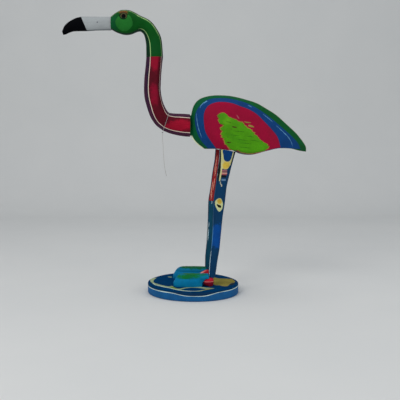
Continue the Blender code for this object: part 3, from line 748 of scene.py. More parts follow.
def make_neck(looks):
    for part, stations, slot, count in (
        ("middle", NECK_MIDDLE, "maroon_foam", 150),
        ("lower", NECK_LOWER, "crimson_foam", 70),
    ):
        if part == "lower":
            make_tongue(looks)
        shape = {"count": count, "warp": neck_warp}
        piece = limb_piece(f"neck_{part}_centre", stations, CORE_LEVELS, 1, looks["purple"], **shape)
        wears(piece, "purple_foam", f"neck_{part}_core")
        for word, side in SIDES:
            cream, outer = looks["neck_cream"], looks["neck_" + part]
            piece = limb_piece(f"neck_{part}_pale_{word}", stations, PALE_LEVELS, side, cream, **shape)
            wears(piece, "cream_foam", f"neck_{part}_cream_{word}")
            piece = limb_shell(f"neck_{part}_side_{word}", stations, NECK_PALE + FILM, side, outer, **shape)
            wears(piece, slot, f"neck_{part}_outer_{word}")


def make_head(looks):
    inner = tuple(
        (fx, fz + HEAD_TUCK * float(smooth_step(-0.140, -0.175, bx)), bx, bz, half, ridge)
        for fx, fz, bx, bz, half, ridge in HEAD
    )
    shape = {"count": 140, "warp": neck_warp}
    piece = limb_piece("head_centre", inner, CORE_LEVELS, 1, looks["dark_green"], **shape)
    wears(piece, "green_foam", "head_core")
    for word, side in SIDES:
        piece = limb_piece("head_thin_" + word, inner, PALE_LEVELS, side, looks["pale_green"], **shape)
        wears(piece, "pale_green_foam", "head_pale_" + word)
        green = limb_shell(
            "head_side_" + word, HEAD, NECK_PALE + FILM, side, looks["head_green"], 22, count=150,
            warp=neck_warp,
        )
        wears(green, "green_foam", "head_green_" + word)
        skin = surface_of([green])
        outline = closed_curve(CHEEK, 0.0012)
        laid_skin(
            "cheek_" + word, outline, skin, looks["cheek"], side, "light_green_foam", "head_cheek_" + word,
            proud=0.0007, edge=0.004, step=0.0014,
        )
        strip = strip_round(NAPE_LINE, 0.0019)
        laid_skin(
            "head_nape_line_" + word, strip, skin, looks["pale_green"], side, "pale_green_foam",
            proud=0.0002, step=0.0009,
        )
        make_eye(word, side, skin, looks)


def disc(radius, centre, points=40, squash=1.0):
    turns = np.linspace(0, 2 * math.pi, points, endpoint=False)
    return np.stack([centre[0] + radius * np.cos(turns), centre[1] + radius * squash * np.sin(turns)], axis=1)


def turned(name, profile, place, normal, look, steps=48):
    """A turned shape: (radius, height) profile spun round the normal at this place."""
    turn = normal.to_track_quat("Z", "Y").to_matrix()
    points = []
    for radius, height in profile:
        for k in range(steps):
            angle = 2 * math.pi * k / steps
            points.append(place + turn @ Vector((radius * math.cos(angle), radius * math.sin(angle), height)))
    faces = ring_faces(len(profile), steps) + end_caps(len(profile), steps)
    return finish_mesh(name, points, faces, look, 55)


def make_eye(word, side, skin, looks):
    """A dark sunken surround, a raised tan ring and a domed pupil, square to the head's surface."""
    away = Vector((0, side, 0))
    place, normal, _, _ = skin.ray_cast(Vector((EYE[0], side * 0.3, EYE[1])), -away)
    normal = (away + 0.35 * (normal if normal.dot(away) > 0 else -normal)).normalized()
    laid_skin(
        "eye_surround_" + word, disc(0.0132, (EYE[0] - 0.0005, EYE[1]), 60, 0.93), skin,
        looks["eye_dark"], side,
        "green_foam", proud=0.0009, edge=0.003, step=0.0012,
    )
    place = place + normal * 0.0006
    ring = [(0.0060, -0.0030), (0.0090, -0.0030), (0.0090, 0.0006)]
    for i in range(9):
        turn = math.pi * i / 8
        ring.append((0.0077 + 0.0013 * math.cos(turn), 0.0006 + 0.0008 * math.sin(turn)))
    ring += [(0.0063, 0.0002), (0.0061, 0.0001)]
    piece = turned("eye_tan_ring_" + word, ring, place, normal, looks["tan"])
    wears(piece, "tan_foam", "eye_ring_" + word)
    dome = [(0.0059, -0.0020), (0.0062, 0.0003)]
    for i in range(1, 11):
        turn = math.pi / 2 * i / 10.4
        dome.append((0.0062 * math.cos(turn), 0.0003 + 0.0016 * math.sin(turn)))
    piece = turned("eye_black_pupil_" + word, dome, place, normal, looks["pupil"])
    wears(piece, "black_foam", "eye_pupil_" + word)


BEAK_CORE, BEAK_HALF = 0.0060, 0.0175
BEAK = (
    (-0.2362, 0.7537, -0.2362, 0.7924, BEAK_HALF, 0.5),
    (-0.2713, 0.7534, -0.2713, 0.7924, 0.0165, 0.5),
    (-0.3050, 0.7514, -0.3228, 0.7926, 0.0135, 0.5),
)
BEAK_TIP = (
    (-0.3054, 0.7514, -0.3232, 0.7926, 0.0134, 0.5),
    (-0.3230, 0.7512, -0.3380, 0.7890, 0.0118, 0.5),
    (-0.3440, 0.7503, -0.3515, 0.7825, 0.0102, 0.5),
    (-0.3570, 0.7465, -0.3625, 0.7750, 0.0088, 0.5),
    (-0.3665, 0.7418, -0.3715, 0.7655, 0.0070, 0.5),
    (-0.3745, 0.7402, -0.3778, 0.7510, 0.0046, 0.5),
)
NOSTRIL = (-0.2747, 0.7741)


def make_beak(looks):
    core = (-BEAK_CORE, -0.003, 0.0, 0.003, BEAK_CORE)
    piece = limb_piece("beak_centre", BEAK, core, 1, looks["beak_grey"], 2.2, 70)
    wears(piece, "grey_foam", "beak_core")
    for word, side in SIDES:
        white = limb_shell(
            "beak_white_" + word, BEAK, BEAK_CORE + FILM, side, looks["beak_white"], 14, 2.2, 80,
        )
        wears(white, "white_foam", "beak_side_" + word)
        laid_skin(
            "nostril_" + word, disc(0.0020, NOSTRIL, 24), surface_of([white]), looks["nostril"], side,
            "grey_foam",
            proud=0.0001, step=0.0007,
        )
    half = rounding(0.0, 0.0130, 9)[1:] + [0.0132, 0.0133]
    whole = [-lv for lv in half[::-1]] + [0.0] + half
    piece = limb_piece("beak_black_tip", BEAK_TIP, whole, 1, looks["black"], 2.2, 70, groove=0.0)
    wears(piece, "black_foam", "beak_tip")


# ---------------------------------------------------------------- body

BODY_CENTRE, BODY_GREEN, BODY_BLUE, BODY_MAGENTA = 0.0015, 0.0130, 0.0270, 0.0410
BACK = (
    (0.0330, 0.4114), (0.0080, 0.4322), (-0.0050, 0.4550), (-0.0080, 0.4820), (-0.0035, 0.5200),
    (0.0060, 0.5428), (0.0210, 0.5563), (0.0480, 0.5644), (0.0800, 0.5660), (0.1140, 0.5632),
    (0.1500, 0.5545), (0.1834, 0.5437), (0.2065, 0.5308), (0.2400, 0.5095), (0.2758, 0.4774),
    (0.2989, 0.4554), (0.3210, 0.4270), (0.3265, 0.4140), (0.3265, 0.4035),
)
GREEN_EDGE = (
    (0.0430, 0.4118), (0.0218, 0.4360), (0.0105, 0.4600), (0.0050, 0.4867), (0.0055, 0.5080),
    (0.0125, 0.5262), (0.0250, 0.5408), (0.0460, 0.5538), (0.0800, 0.5572), (0.1120, 0.5542),
    (0.1575, 0.5412), (0.2030, 0.5150), (0.2485, 0.4785), (0.2945, 0.4355), (0.3085, 0.4110),
)
BLUE_EDGE = (
    (0.0650, 0.4125), (0.0487, 0.4349), (0.0345, 0.4600), (0.0300, 0.4862), (0.0310, 0.5140),
    (0.0431, 0.5347), (0.0659, 0.5441), (0.0886, 0.5448), (0.1114, 0.5412), (0.1342, 0.5325),
    (0.1569, 0.5243), (0.1797, 0.5105), (0.2025, 0.4885), (0.2253, 0.4640), (0.2400, 0.4440),
    (0.2480, 0.4160),
)
LIME_EDGE = (
    (0.1120, 0.4070), (0.0900, 0.4250), (0.0770, 0.4500), (0.0720, 0.4800), (0.0760, 0.5060),
    (0.0900, 0.5110), (0.1120, 0.5010), (0.1383, 0.4862), (0.1707, 0.4588), (0.2040, 0.4289),
    (0.2080, 0.4080),
)
LIME_TOP = (
    (0.1250, 0.4075), (0.1080, 0.4280), (0.0990, 0.4520), (0.0960, 0.4740), (0.1020, 0.4850),
    (0.1150, 0.4820), (0.1350, 0.4700), (0.1600, 0.4500), (0.1830, 0.4250), (0.1830, 0.4075),
)
BELLY = (
    (0.0340, 0.4116), (0.0700, 0.4115), (0.1100, 0.4080), (0.1350, 0.3975), (0.1700, 0.3945),
    (0.2150, 0.4060), (0.2600, 0.4152), (0.3000, 0.4110), (0.3265, 0.4035),
)
BODY_KEYS = (
    (0.0, BACK, 0.0),
    (BODY_GREEN, GREEN_EDGE, 0.0010),
    (BODY_BLUE, BLUE_EDGE, 0.0020),
    (BODY_MAGENTA, LIME_EDGE, 0.0045),
    (0.0475, LIME_TOP, 0.0100),
)
BODY_COUNT = 130


def body_key(edge, rise):
    """The carved edge over the back and the underside, both from front to tail."""
    top = even_points(edge, BODY_COUNT)
    belly = even_points(BELLY, 200)
    xs = top[0, 0] + (top[-1, 0] - top[0, 0]) * np.linspace(0, 1, BODY_COUNT)
    share = np.linspace(0, 1, BODY_COUNT)
    straight = top[0, 1] + (top[-1, 1] - top[0, 1]) * share
    ease = np.minimum(1.0, np.minimum(6 * share, 6 * (1 - share)))
    zs = straight + (np.interp(xs, belly[:, 0], belly[:, 1]) + rise - straight) * ease
    return np.concatenate([top, np.stack([xs, zs], axis=1)])


BODY_RINGS = [(level, body_key(edge, rise)) for level, edge, rise in BODY_KEYS]


def body_rails(level):
    """The two rails at this distance from the centre plane."""
    index = max(i for i in range(len(BODY_RINGS) - 1) if BODY_RINGS[i][0] <= level)
    (low, first), (high, second) = BODY_RINGS[index], BODY_RINGS[index + 1]
    share = (level - low) / (high - low)
    power = (1.7, 1.0, 1.35, 1.0)[index]
    ring = first + (second - first) * share ** power
    return ring[:BODY_COUNT], ring[BODY_COUNT:]


def body_warp(grid):
    made = grid.copy()
    depth = np.abs(grid[..., 1])
    share = smooth_step(0.004, 0.011, depth) * (1 - smooth_step(0.036, 0.042, depth))
    x, z = grid[..., 0], grid[..., 2]
    wander = 0.0006 * np.sin(38 * x + 27 * z) + 0.0005 * np.sin(95 * x - 71 * z + 2.0)
    made[..., 1] += np.sign(grid[..., 1]) * share * wander
    return made


def body_piece(name, low, high, steps, side, look):
    rows = []
    for i in range(steps + 1):
        level = low + (high - low) * i / steps
        rail, other = body_rails(level)
        rows.append((side * level, rail, other))
    return carved(name, rows, look, warp=body_warp)


LIME_PATCH = (
    (0.1171, 0.4020), (0.1060, 0.4110), (0.0950, 0.4185), (0.0872, 0.4300), (0.0880, 0.4350),
    (0.0850, 0.4390),
    (0.0775, 0.4492), (0.0790, 0.4555), (0.0812, 0.4616), (0.0760, 0.4690), (0.0830, 0.4755),
    (0.0800, 0.4800),
    (0.0730, 0.4870), (0.0700, 0.5000), (0.0705, 0.5080), (0.0790, 0.5125), (0.0880, 0.5125),
    (0.0960, 0.5055),
    (0.1060, 0.4985), (0.1200, 0.4930), (0.1300, 0.4875), (0.1390, 0.4850), (0.1440, 0.4770),
    (0.1520, 0.4705),
    (0.1600, 0.4660), (0.1690, 0.4580), (0.1770, 0.4490), (0.1840, 0.4420), (0.1920, 0.4350),
    (0.2010, 0.4290),
    (0.2080, 0.4240), (0.2090, 0.4160), (0.2060, 0.4090), (0.2000, 0.4050),
)


LIME_TEAR = (0.0062, 0.0040, 1.0)  # reach, height of a tooth, seed
FRINGE = 0.0021


def lime_outline():
    """The torn lime layer's outline, closed along the belly."""
    belly = even_points(BELLY, 200)
    xs = np.linspace(0.1960, 0.1230, 9)
    return list(LIME_PATCH) + [(x, float(np.interp(x, belly[:, 0], belly[:, 1])) + 0.0048) for x in xs]


LIME_SLITS = (
    ((0.1088, 0.4750), (0.1160, 0.4740), (0.1226, 0.4718), (0.1160, 0.4708), (0.1098, 0.4724)),
    ((0.1040, 0.4676), (0.1056, 0.4682), (0.1068, 0.4668), (0.1052, 0.4660)),
    ((0.0956, 0.4452), (0.0970, 0.4458), (0.0982, 0.4442), (0.0966, 0.4434)),
    ((0.0930, 0.4310), (0.0995, 0.4308), (0.1062, 0.4294), (0.1000, 0.4282), (0.0942, 0.4290)),
)
# Painted highlights: pale blue streaks along the blue sheet's rounded rim, where it catches the light.
BLUE_RIM_HIGHLIGHTS = (
    ((0.0192, 0.5278), (0.0221, 0.5349), (0.0290, 0.5430), (0.0392, 0.5507)),
    ((0.0093, 0.5135), (0.0105, 0.4950), (0.0150, 0.4700), (0.0250, 0.4421)),
    ((0.1563, 0.5364), (0.1620, 0.5337), (0.1678, 0.5307)),
    ((0.1992, 0.5107), (0.2140, 0.5000), (0.2277, 0.4878)),
    ((0.2363, 0.4793), (0.2540, 0.4630), (0.2706, 0.4464), (0.2800, 0.4320), (0.2848, 0.4164)),
)
LIME_STROKES = (
    ((0.1109, 0.4618), (0.1280, 0.4606), (0.1447, 0.4587)),
    ((0.1053, 0.4508), (0.1180, 0.4496), (0.1306, 0.4474)),
    ((0.1194, 0.4392), (0.1360, 0.4368), (0.1532, 0.4333)),
    ((0.1306, 0.4280), (0.1470, 0.4270), (0.1644, 0.4249)),
    ((0.1250, 0.4168), (0.1420, 0.4158), (0.1588, 0.4136)),
    ((0.1500, 0.4470), (0.1600, 0.4462), (0.1700, 0.4440)),
    ((0.0900, 0.4880), (0.0980, 0.4872), (0.1060, 0.4850)),
    ((0.1600, 0.4360), (0.1720, 0.4348), (0.1850, 0.4318)),
)
FLECKS = (
    ((0.1225, 0.5065), (0.1250, 0.5050), (0.1285, 0.4990), (0.1270, 0.4975), (0.1240, 0.5010)),
    ((0.1440, 0.4885), (0.1500, 0.4880), (0.1590, 0.4865), (0.1600, 0.4850), (0.1500, 0.4852)),
    (
        (0.1560, 0.4780), (0.1620, 0.4785), (0.1680, 0.4755), (0.1700, 0.4730), (0.1620, 0.4735),
        (0.1570, 0.4750),
    ),
)


def strip_round(points, width):
    """A narrow outline with pointed ends along these points."""
    middle = even_points(points, max(10, int(len(points) * 9)))
    ahead = np.gradient(middle, axis=0)
    across = np.stack([-ahead[:, 1], ahead[:, 0]], axis=1) / np.linalg.norm(ahead, axis=1, keepdims=True)
    share = np.linspace(0, 1, len(middle))
    half = 0.5 * width * np.sqrt(np.clip(np.sin(math.pi * share), 0.02, 1)) * (1 + 0.3 * np.sin(31 * share))
    return np.concatenate([middle + across * half[:, None], (middle - across * half[:, None])[::-1]])


def make_body(looks):
    rows = [(y, *body_rails(0.0)) for y in (-BODY_CENTRE, 0.0, BODY_CENTRE)]
    wears(carved("body_middle_sheet", rows, looks["cream"]), "cream_foam", "body_centre_sheet")
    for word, side in SIDES:
        green = body_piece(
            "body_green_sheet_" + word, BODY_CENTRE + FILM, BODY_GREEN, 8, side, looks["body_green"],
        )
        wears(green, "green_foam", "body_green_" + word)
        blue = body_piece(
            "body_blue_sheet_" + word, BODY_GREEN + FILM, BODY_BLUE, 9, side, looks["body_blue"],
        )
        wears(blue, "blue_foam", "body_blue_" + word)
        rows = []
        for level in list(np.linspace(BODY_BLUE + FILM, 0.0470, 15)):
            rail, other = body_rails(level)
            rows.append((side * level, rail, other))
        rail, other = body_rails(0.0470)
        for level, share in ((0.0474, 0.25), (0.0477, 0.55), (0.0478, 0.85)):
            middle = (rail + other) / 2
            rows.append((side * level, rail + (middle - rail) * share, other + (middle - other) * share))
        magenta = carved("body_magenta_sheet_" + word, rows, looks["body_magenta"], warp=body_warp)
        wears(magenta, "magenta_foam", "body_magenta_" + word)
        skin = surface_of([magenta])
        outline = torn(ragged(closed_curve(lime_outline(), 0.0009), 0.0006, 0.0045, 1.0), *LIME_TEAR)
        fringe = torn(ragged(closed_curve(lime_outline(), 0.0012), 0.0008, 0.0040, 9.0), *LIME_TEAR)
        spokes = fringe - fringe.mean(axis=0)
        grown = fringe + spokes / np.linalg.norm(spokes, axis=1, keepdims=True) * FRINGE
        laid_skin(
            "body_torn_fringe_" + word, grown, skin, looks["fringe"], side, "lime_foam",
            proud=0.0003, edge=0.001, step=0.0022,
        )
        lime = laid_skin(
            "body_lime_sheet_" + word, outline, skin, looks["body_lime"], side, "lime_foam",
            "body_lime_" + word,
            proud=0.0013, edge=0.0022, step=0.0015, fine=0.00018,
        )
        for i, fleck in enumerate(FLECKS):
            shape = closed_curve(fleck, 0.0008)
            shape = ragged(shape + (shape - shape.mean(axis=0)) * 0.22, 0.0004, 0.003, float(i))
            look = looks["pink_fleck"] if i == 0 else looks["olive_fleck"]
            laid_skin(
                f"body_fleck_{i}_{word}", shape, skin, look, side, "lime_foam", proud=0.0004,
                step=0.001,
            )
        skin = surface_of([lime])
        for i, stroke in enumerate(LIME_STROKES):
            laid_skin(
                f"body_lime_stroke_{i}_{word}", strip_round(stroke, 0.0013), skin, looks["lime_dark"], side,
                "lime_foam", proud=0.0001, step=0.0009,
            )
        for i, slit in enumerate(LIME_SLITS):
            shape = ragged(closed_curve(slit, 0.0007), 0.0003, 0.003, float(i))
            laid_skin(
                f"body_lime_slit_{i}_{word}", shape, skin, looks["slit"], side, "maroon_foam",
                proud=0.0001, step=0.0009,
            )
        # Painted highlights: pale blue streaks on the blue sheet's rim.
        skin = surface_of([blue])
        for i, line in enumerate(BLUE_RIM_HIGHLIGHTS):
            laid_skin(
                f"body_pale_line_{i}_{word}", strip_round(line, 0.0019), skin, looks["painted_blue_highlight"], side,
                "blue_foam", proud=0.0002, edge=0.0004, step=0.0009,
            )
    lip = [(x - 0.0008, 0.0, z - 0.0006) for x, z in even_points(BACK[:4], 90)[4:]]
    points, faces = tube_mesh(lip, 0.0018, 10)
    wears(finish_mesh("body_cream_lip", points, faces, looks["lip"]), "cream_foam")


# ---------------------------------------------------------------- legs

ANKLE_Y, HIP_Y, ANKLE_Z, HIP_Z = 0.054, 0.029, 0.0514, 0.4070
LEG_SPLAY = math.atan2(ANKLE_Y - HIP_Y, HIP_Z - ANKLE_Z)
RIGHT_LEG_SHIFT, RIGHT_LEG_LEAN, RIGHT_LEG_BOW = -0.0034, -0.0098, -0.0034
LEG_CORE = 0.0045
LEG = (
    (0.0425, 0.0514, 0.0598, 0.0514, 0.0092, 0.5),
    (0.0418, 0.0655, 0.0622, 0.0655, 0.0096, 0.5),
    (0.0438, 0.0980, 0.0671, 0.0980, 0.0104, 0.5),
    (0.0482, 0.1320, 0.0728, 0.1320, 0.0108, 0.5),
    (0.0526, 0.1860, 0.0785, 0.1860, 0.0112, 0.5),
    (0.0545, 0.2260, 0.0830, 0.2260, 0.0118, 0.5),
    (0.0556, 0.2600, 0.0888, 0.2600, 0.0128, 0.5),
    (0.0617, 0.3010, 0.0935, 0.3010, 0.0120, 0.5),
    (0.0660, 0.3400, 0.1022, 0.3390, 0.0118, 0.5),
    (0.0714, 0.3770, 0.1115, 0.3750, 0.0120, 0.5),
    (0.0738, 0.4117, 0.1200, 0.4030, 0.0122, 0.5),
)
KNEE_T = 6.0
THIGH_YELLOW = (
    (0.0788, 0.4090), (0.0784, 0.3939), (0.0776, 0.3741), (0.0764, 0.3516), (0.0733, 0.3347),
    (0.0717, 0.3225),
    (0.0745, 0.3212), (0.0775, 0.3330), (0.0795, 0.3460), (0.0812, 0.3552), (0.0871, 0.3545),
    (0.0952, 0.3548),
    (0.1003, 0.3610), (0.1054, 0.3695), (0.1085, 0.3800), (0.1118, 0.3920), (0.1142, 0.4040),
    (0.1100, 0.4060),
    (0.0950, 0.4090),
)
THIGH_BLUE = (
    (0.0830, 0.4092), (0.0838, 0.3939), (0.0862, 0.3800), (0.0932, 0.3752), (0.1012, 0.3766),
    (0.1066, 0.3840),
    (0.1096, 0.3950), (0.1112, 0.4055), (0.1000, 0.4080),
)
THIGH_BACK = (
    (0.1142, 0.4085), (0.1195, 0.4050), (0.1170, 0.3920), (0.1112, 0.3745), (0.1040, 0.3690),
    (0.1085, 0.3820),
)
THIGH_FRONT = (
    (0.0738, 0.4095), (0.0784, 0.4090), (0.0778, 0.3939), (0.0768, 0.3741), (0.0752, 0.3516),
    (0.0722, 0.3340),
    (0.0690, 0.3220), (0.0672, 0.3230), (0.0688, 0.3516), (0.0708, 0.3741), (0.0724, 0.3939),
)
THIGH_BACK_LINE = (
    (0.1150, 0.4080), (0.1128, 0.3950), (0.1090, 0.3830), (0.1040, 0.3715), (0.1030, 0.3720),
    (0.1076, 0.3835),
    (0.1112, 0.3955), (0.1134, 0.4075),
)
STRIPES = (
    (0.3540, 0.3515, 0.0797, 0.0943, (112, 96, 92)), (0.3515, 0.3475, 0.0795, 0.0946, (150, 92, 98)),
    (0.3475, 0.3450, 0.0793, 0.0946, (92, 66, 58)), (0.3450, 0.3405, 0.0790, 0.0944, (188, 134, 122)),
    (0.3405, 0.3375, 0.0786, 0.0935, (150, 70, 76)), (0.3372, 0.3305, 0.0772, 0.0915, (14, 18, 24)),
    (0.3268, 0.3212, 0.0782, 0.0905, (86, 112, 140)),
)
SQUIGGLE = (
    (0.0742, 0.3195), (0.0762, 0.3185), (0.0770, 0.3140), (0.0800, 0.3105), (0.0798, 0.3060),
    (0.0775, 0.3045),
    (0.0768, 0.3085), (0.0748, 0.3120),
)
KNEE_PATCH = (
    (0.0735, 0.2730), (0.0795, 0.2670), (0.0820, 0.2545), (0.0796, 0.2425), (0.0720, 0.2352),
    (0.0655, 0.2421),
    (0.0601, 0.2560), (0.0625, 0.2670),
)
KNEE_DARK = (
    (0.0647, 0.2562), (0.0700, 0.2552), (0.0772, 0.2512), (0.0757, 0.2452), (0.0684, 0.2477),
    (0.0650, 0.2520),
)


def lean(piece, side):
    """Moves a leg sheet from the leg's own upright frame into place."""
    turn = Matrix.Rotation(side * LEG_SPLAY, 4, "X")
    piece.data.transform(Matrix.Translation((0.0, side * ANKLE_Y, ANKLE_Z)) @ turn)
    return piece


def leg_shift(side, z):
    """The right leg stands a little nearer the toes than the left one, more so higher up."""
    bow = RIGHT_LEG_BOW * math.sin(math.pi * min(1.0, max(0.0, (z - ANKLE_Z) / (HIP_Z - ANKLE_Z))))
    return RIGHT_LEG_SHIFT + RIGHT_LEG_LEAN * (z - ANKLE_Z) + bow if side > 0 else 0.0


def leg_stations(side, low=0.0, high=None):
    """The leg's stations between two places along it, in its own frame."""
    high = len(LEG) - 1 if high is None else high
    found = []
    for t in np.linspace(low, high, 24):
        fx, fz, bx, bz, half, ridge = along(LEG, t)
        fx, bx = fx + leg_shift(side, fz), bx + leg_shift(side, bz)
        found.append((fx, fz - ANKLE_Z, bx, bz - ANKLE_Z, half, ridge))
    return tuple(found)


def ribbon(stations, share, low, high, width, wiggle=0.0):
    """A narrow outline that runs along a leg at this share of its width."""
    middle = []
    for t in np.linspace(low, high, 40):
        fx, fz, bx, bz, _, _ = along(stations, t)
        x = fx + (bx - fx) * (share + wiggle * math.sin(9 * t))
        middle.append((x, fz + (bz - fz) * share + ANKLE_Z))
    middle = np.array(middle)
    along_it = np.linspace(0, 1, len(middle))
    swell = 1 + 0.25 * np.sin(31 * along_it)
    half = 0.5 * width * np.sqrt(np.clip(np.sin(math.pi * along_it), 0.03, 1)) * swell
    left, right = middle.copy(), middle.copy()
    left[:, 0] -= half
    right[:, 0] += half
    return np.concatenate([left, right[::-1]])


# Where a streak starts and ends along its half of the leg, from 0 to 23, and its place across it.
THIGH_STREAKS = (
    (0.3, 3.6, 0.20), (4.0, 9.5, 0.26), (10.2, 15.0, 0.22), (15.4, 22.6, 0.30), (2.0, 8.0, 0.12),
    (12.0, 20.0, 0.14),
)
# The same for the flecks, and their width.
SHANK_FLECKS = ((21.9, 22.9, 0.30, 0.0015), (12.2, 14.6, 0.13, 0.0016), (15.0, 16.2, 0.14, 0.0012))


def make_leg(word, side, looks):
    """A leg's three sheets, the thin lines between them and the streaks on their faces."""

    def streak(name, outline, skin, look, facing, slot, step):
        laid_skin(
            f"{word}_{name}", outline, skin, looks[look], facing, slot, proud=0.0002, edge=0.0005, step=step,
        )

    whole = leg_stations(side)
    start = LEG_CORE + 0.0011
    core = (-LEG_CORE, -0.0025, 0.0, 0.0025, LEG_CORE)
    thin = (LEG_CORE + FILM, LEG_CORE + 0.00105)
    outer = lean(
        limb_shell(f"{word}_leg_outer_sheet", whole, start, side, looks["leg_outer"], 12, 2.2, 180),
        side,
    )
    wears(outer, "blue_foam", f"{word}_leg_outer")
    centre = lean(
        limb_piece(f"{word}_leg_centre_sheet", whole, core, side, looks["leg_core"], 2.2, 170), side,
    )
    wears(centre, "navy_foam", f"{word}_leg_core")
    # The inner line is cream foam painted dark: painted shade in the gap between the legs.
    for name, facing, look, slot in (
        ("outer", side, "leg_line", "blue_foam"),
        ("inner", -side, "shaded_inner_leg_line", "cream_foam"),
    ):
        line = limb_piece(f"{word}_leg_line_{name}", whole, thin, facing, looks[look], 2.2, 170, relief=0.0)
        wears(lean(line, side), slot)
    lower = leg_stations(side, 0.0, KNEE_T)
    upper = leg_stations(side, KNEE_T + 0.01)
    shank = lean(
        limb_shell(f"{word}_leg_inner_shank", lower, start, -side, looks["shank_inner"], 12, 2.2, 110),
        side,
    )
    wears(shank, "navy_foam")
    thigh = lean(
        limb_shell(f"{word}_leg_inner_thigh", upper, start, -side, looks["thigh_inner"], 12, 2.2, 90),
        side,
    )
    wears(thigh, "crimson_foam", f"{word}_leg_inner")
    skin = surface_of([thigh])
    for i, (low, high, share) in enumerate(THIGH_STREAKS):
        strip = ribbon(upper, share, low, high, 0.0019, 0.012)
        streak(f"leg_salmon_{i}", strip, skin, "salmon", -side, "crimson_foam", 0.001)
    strip = ribbon(upper, 0.42, 0.5, 22.5, 0.0014, 0.01)
    streak("leg_mauve", strip, skin, "mauve", -side, "crimson_foam", 0.001)
    skin = surface_of([shank])
    for i, (low, high, share, width) in enumerate(SHANK_FLECKS):
        strip = ribbon(lower, share, low, high, width, 0.01)
        streak(f"leg_fleck_{i}", strip, skin, "line_bright", -side, "cream_foam", 0.0009)
    skin = surface_of([outer])
    for i, (low, high, look) in enumerate(((0.4, 6.6, "line_bright"), (6.9, 9.6, "line_blue"))):
        strip = ribbon(whole, 0.07, low, high, 0.0018, 0.006)
        streak(f"leg_front_line_{i}", strip, skin, look, side, "cream_foam", 0.0009)
    patch_leg(word, side, skin, looks)


def patch_leg(word, side, skin, looks):
    """The layers laid bare on the outside of the leg: thigh, print and knee."""

    def moved(shape):
        return shape + [(leg_shift(side, z), 0.0) for _, z in shape]

    def laid(name, points, look, proud, slot, tear=0.0005, step=0.0011):
        shape = moved(ragged(closed_curve(points, 0.0008), tear, 0.004, 2.0))
        laid_skin(f"{word}_{name}", shape, skin, looks[look], side, slot, proud=proud, edge=0.0009, step=step)

    laid("thigh_cream", THIGH_YELLOW, "thigh_yellow", 0.0002, "yellow_foam")
    laid("thigh_blue", THIGH_BLUE, "thigh_blue", 0.0006, "blue_foam")
    laid("thigh_front_dark", THIGH_FRONT, "knee_dark", 0.0002, "black_foam", tear=0.0002)
    laid("thigh_back_dark", THIGH_BACK, "knee_dark", 0.0002, "black_foam")
    laid("thigh_back_line", THIGH_BACK_LINE, "cream", 0.0005, "cream_foam", tear=0.0001, step=0.0008)
    laid("thigh_squiggle", SQUIGGLE, "cream", 0.0002, "cream_foam", step=0.0008)
    laid("knee_patch", KNEE_PATCH, "knee_yellow", 0.0002, "yellow_foam")
    laid("knee_dark", KNEE_DARK, "knee_dark", 0.0005, "black_foam", step=0.0008)
    for i, (high, low, near, far, colour) in enumerate(STRIPES):
        corners = np.array([
            (near, high), ((near + far) / 2, high - 0.0003), (far, high - 0.0004), (far, low + 0.0001),
            (near, low + 0.0003),
        ])
        sides = zip(corners, np.roll(corners, -1, axis=0))
        shape = np.concatenate([np.linspace(a, b, 8, endpoint=False) for a, b in sides])
        look = foam(f"{word}_print_{i}", colour, pores=0.2)
        laid_skin(
            f"{word}_thigh_print_{i}", moved(ragged(shape, 0.0003, 0.003, i)), skin, look, side, "red_foam",
            proud=0.00035, edge=0.0006, step=0.0009,
        )


# ---------------------------------------------------------------- feet

FOOT_SIDE = (
    (0.0228, 0.0150), (0.0050, 0.0215), (-0.0200, 0.0238), (-0.0420, 0.0200), (-0.0540, 0.0090),
    (-0.0570, 0.0),
)
BASE_TOP = 0.0280
FOOT_SPLIT, FOOT_TOP, FOOT_REAR, FOOT_TOP_REAR = 0.0500, 0.0620, 0.0228, 0.0428
HEEL_LOW, HEEL_SEAM, HEEL_TOP = 0.0276, 0.0412, 0.0513
HEEL_NOSE, HEEL_BACK, HEEL_HALF = 0.0238, 0.0562, 0.0152
ARCH = ((0.0200, 0.0100), (0.0300, 0.0100), (0.0340, 0.0088), (0.0360, 0.0050), (0.0364, 0.0))
HEEL_WEDGE = (
    (0.0150, 0.0414, 0.0150, 0.0430, 0.0010, 0.5),
    (0.0200, 0.0402, 0.0200, 0.0462, 0.0018, 0.5),
    (0.0270, 0.0394, 0.0270, 0.0500, 0.0023, 0.5),
    (0.0350, 0.0390, 0.0350, 0.0534, 0.0024, 0.5),
    (0.0430, 0.0390, 0.0430, 0.0556, 0.0021, 0.5),
    (0.0500, 0.0400, 0.0500, 0.0545, 0.0012, 0.5),
)


TOE_HEIGHTS = (0.0380, 0.0423, 0.0512, 0.0571, 0.0605, 0.0622)
TOE_SLOPE = (0.0, 0.0026, 0.0080, 0.0136, 0.0190, 0.0240)


def foot_rails(centre_y, z, inset, rear, count=50):
    """Both sides of the foot's plan from the heel end to the toe, which slopes back as it rises."""
    half = even_points(FOOT_SIDE, count)
    middle = -0.017
    toe = float(np.interp(z, TOE_HEIGHTS, TOE_SLOPE))
    half[:, 0] = middle + (half[:, 0] - middle) * np.where(
        half[:, 0] > middle, (rear - middle) / (FOOT_REAR - middle), 1 - toe / 0.040
    )
    half[:, 1] *= 1 - inset / 0.024
    return [half * (1, sign) + (0.0, centre_y) for sign in (1, -1)]


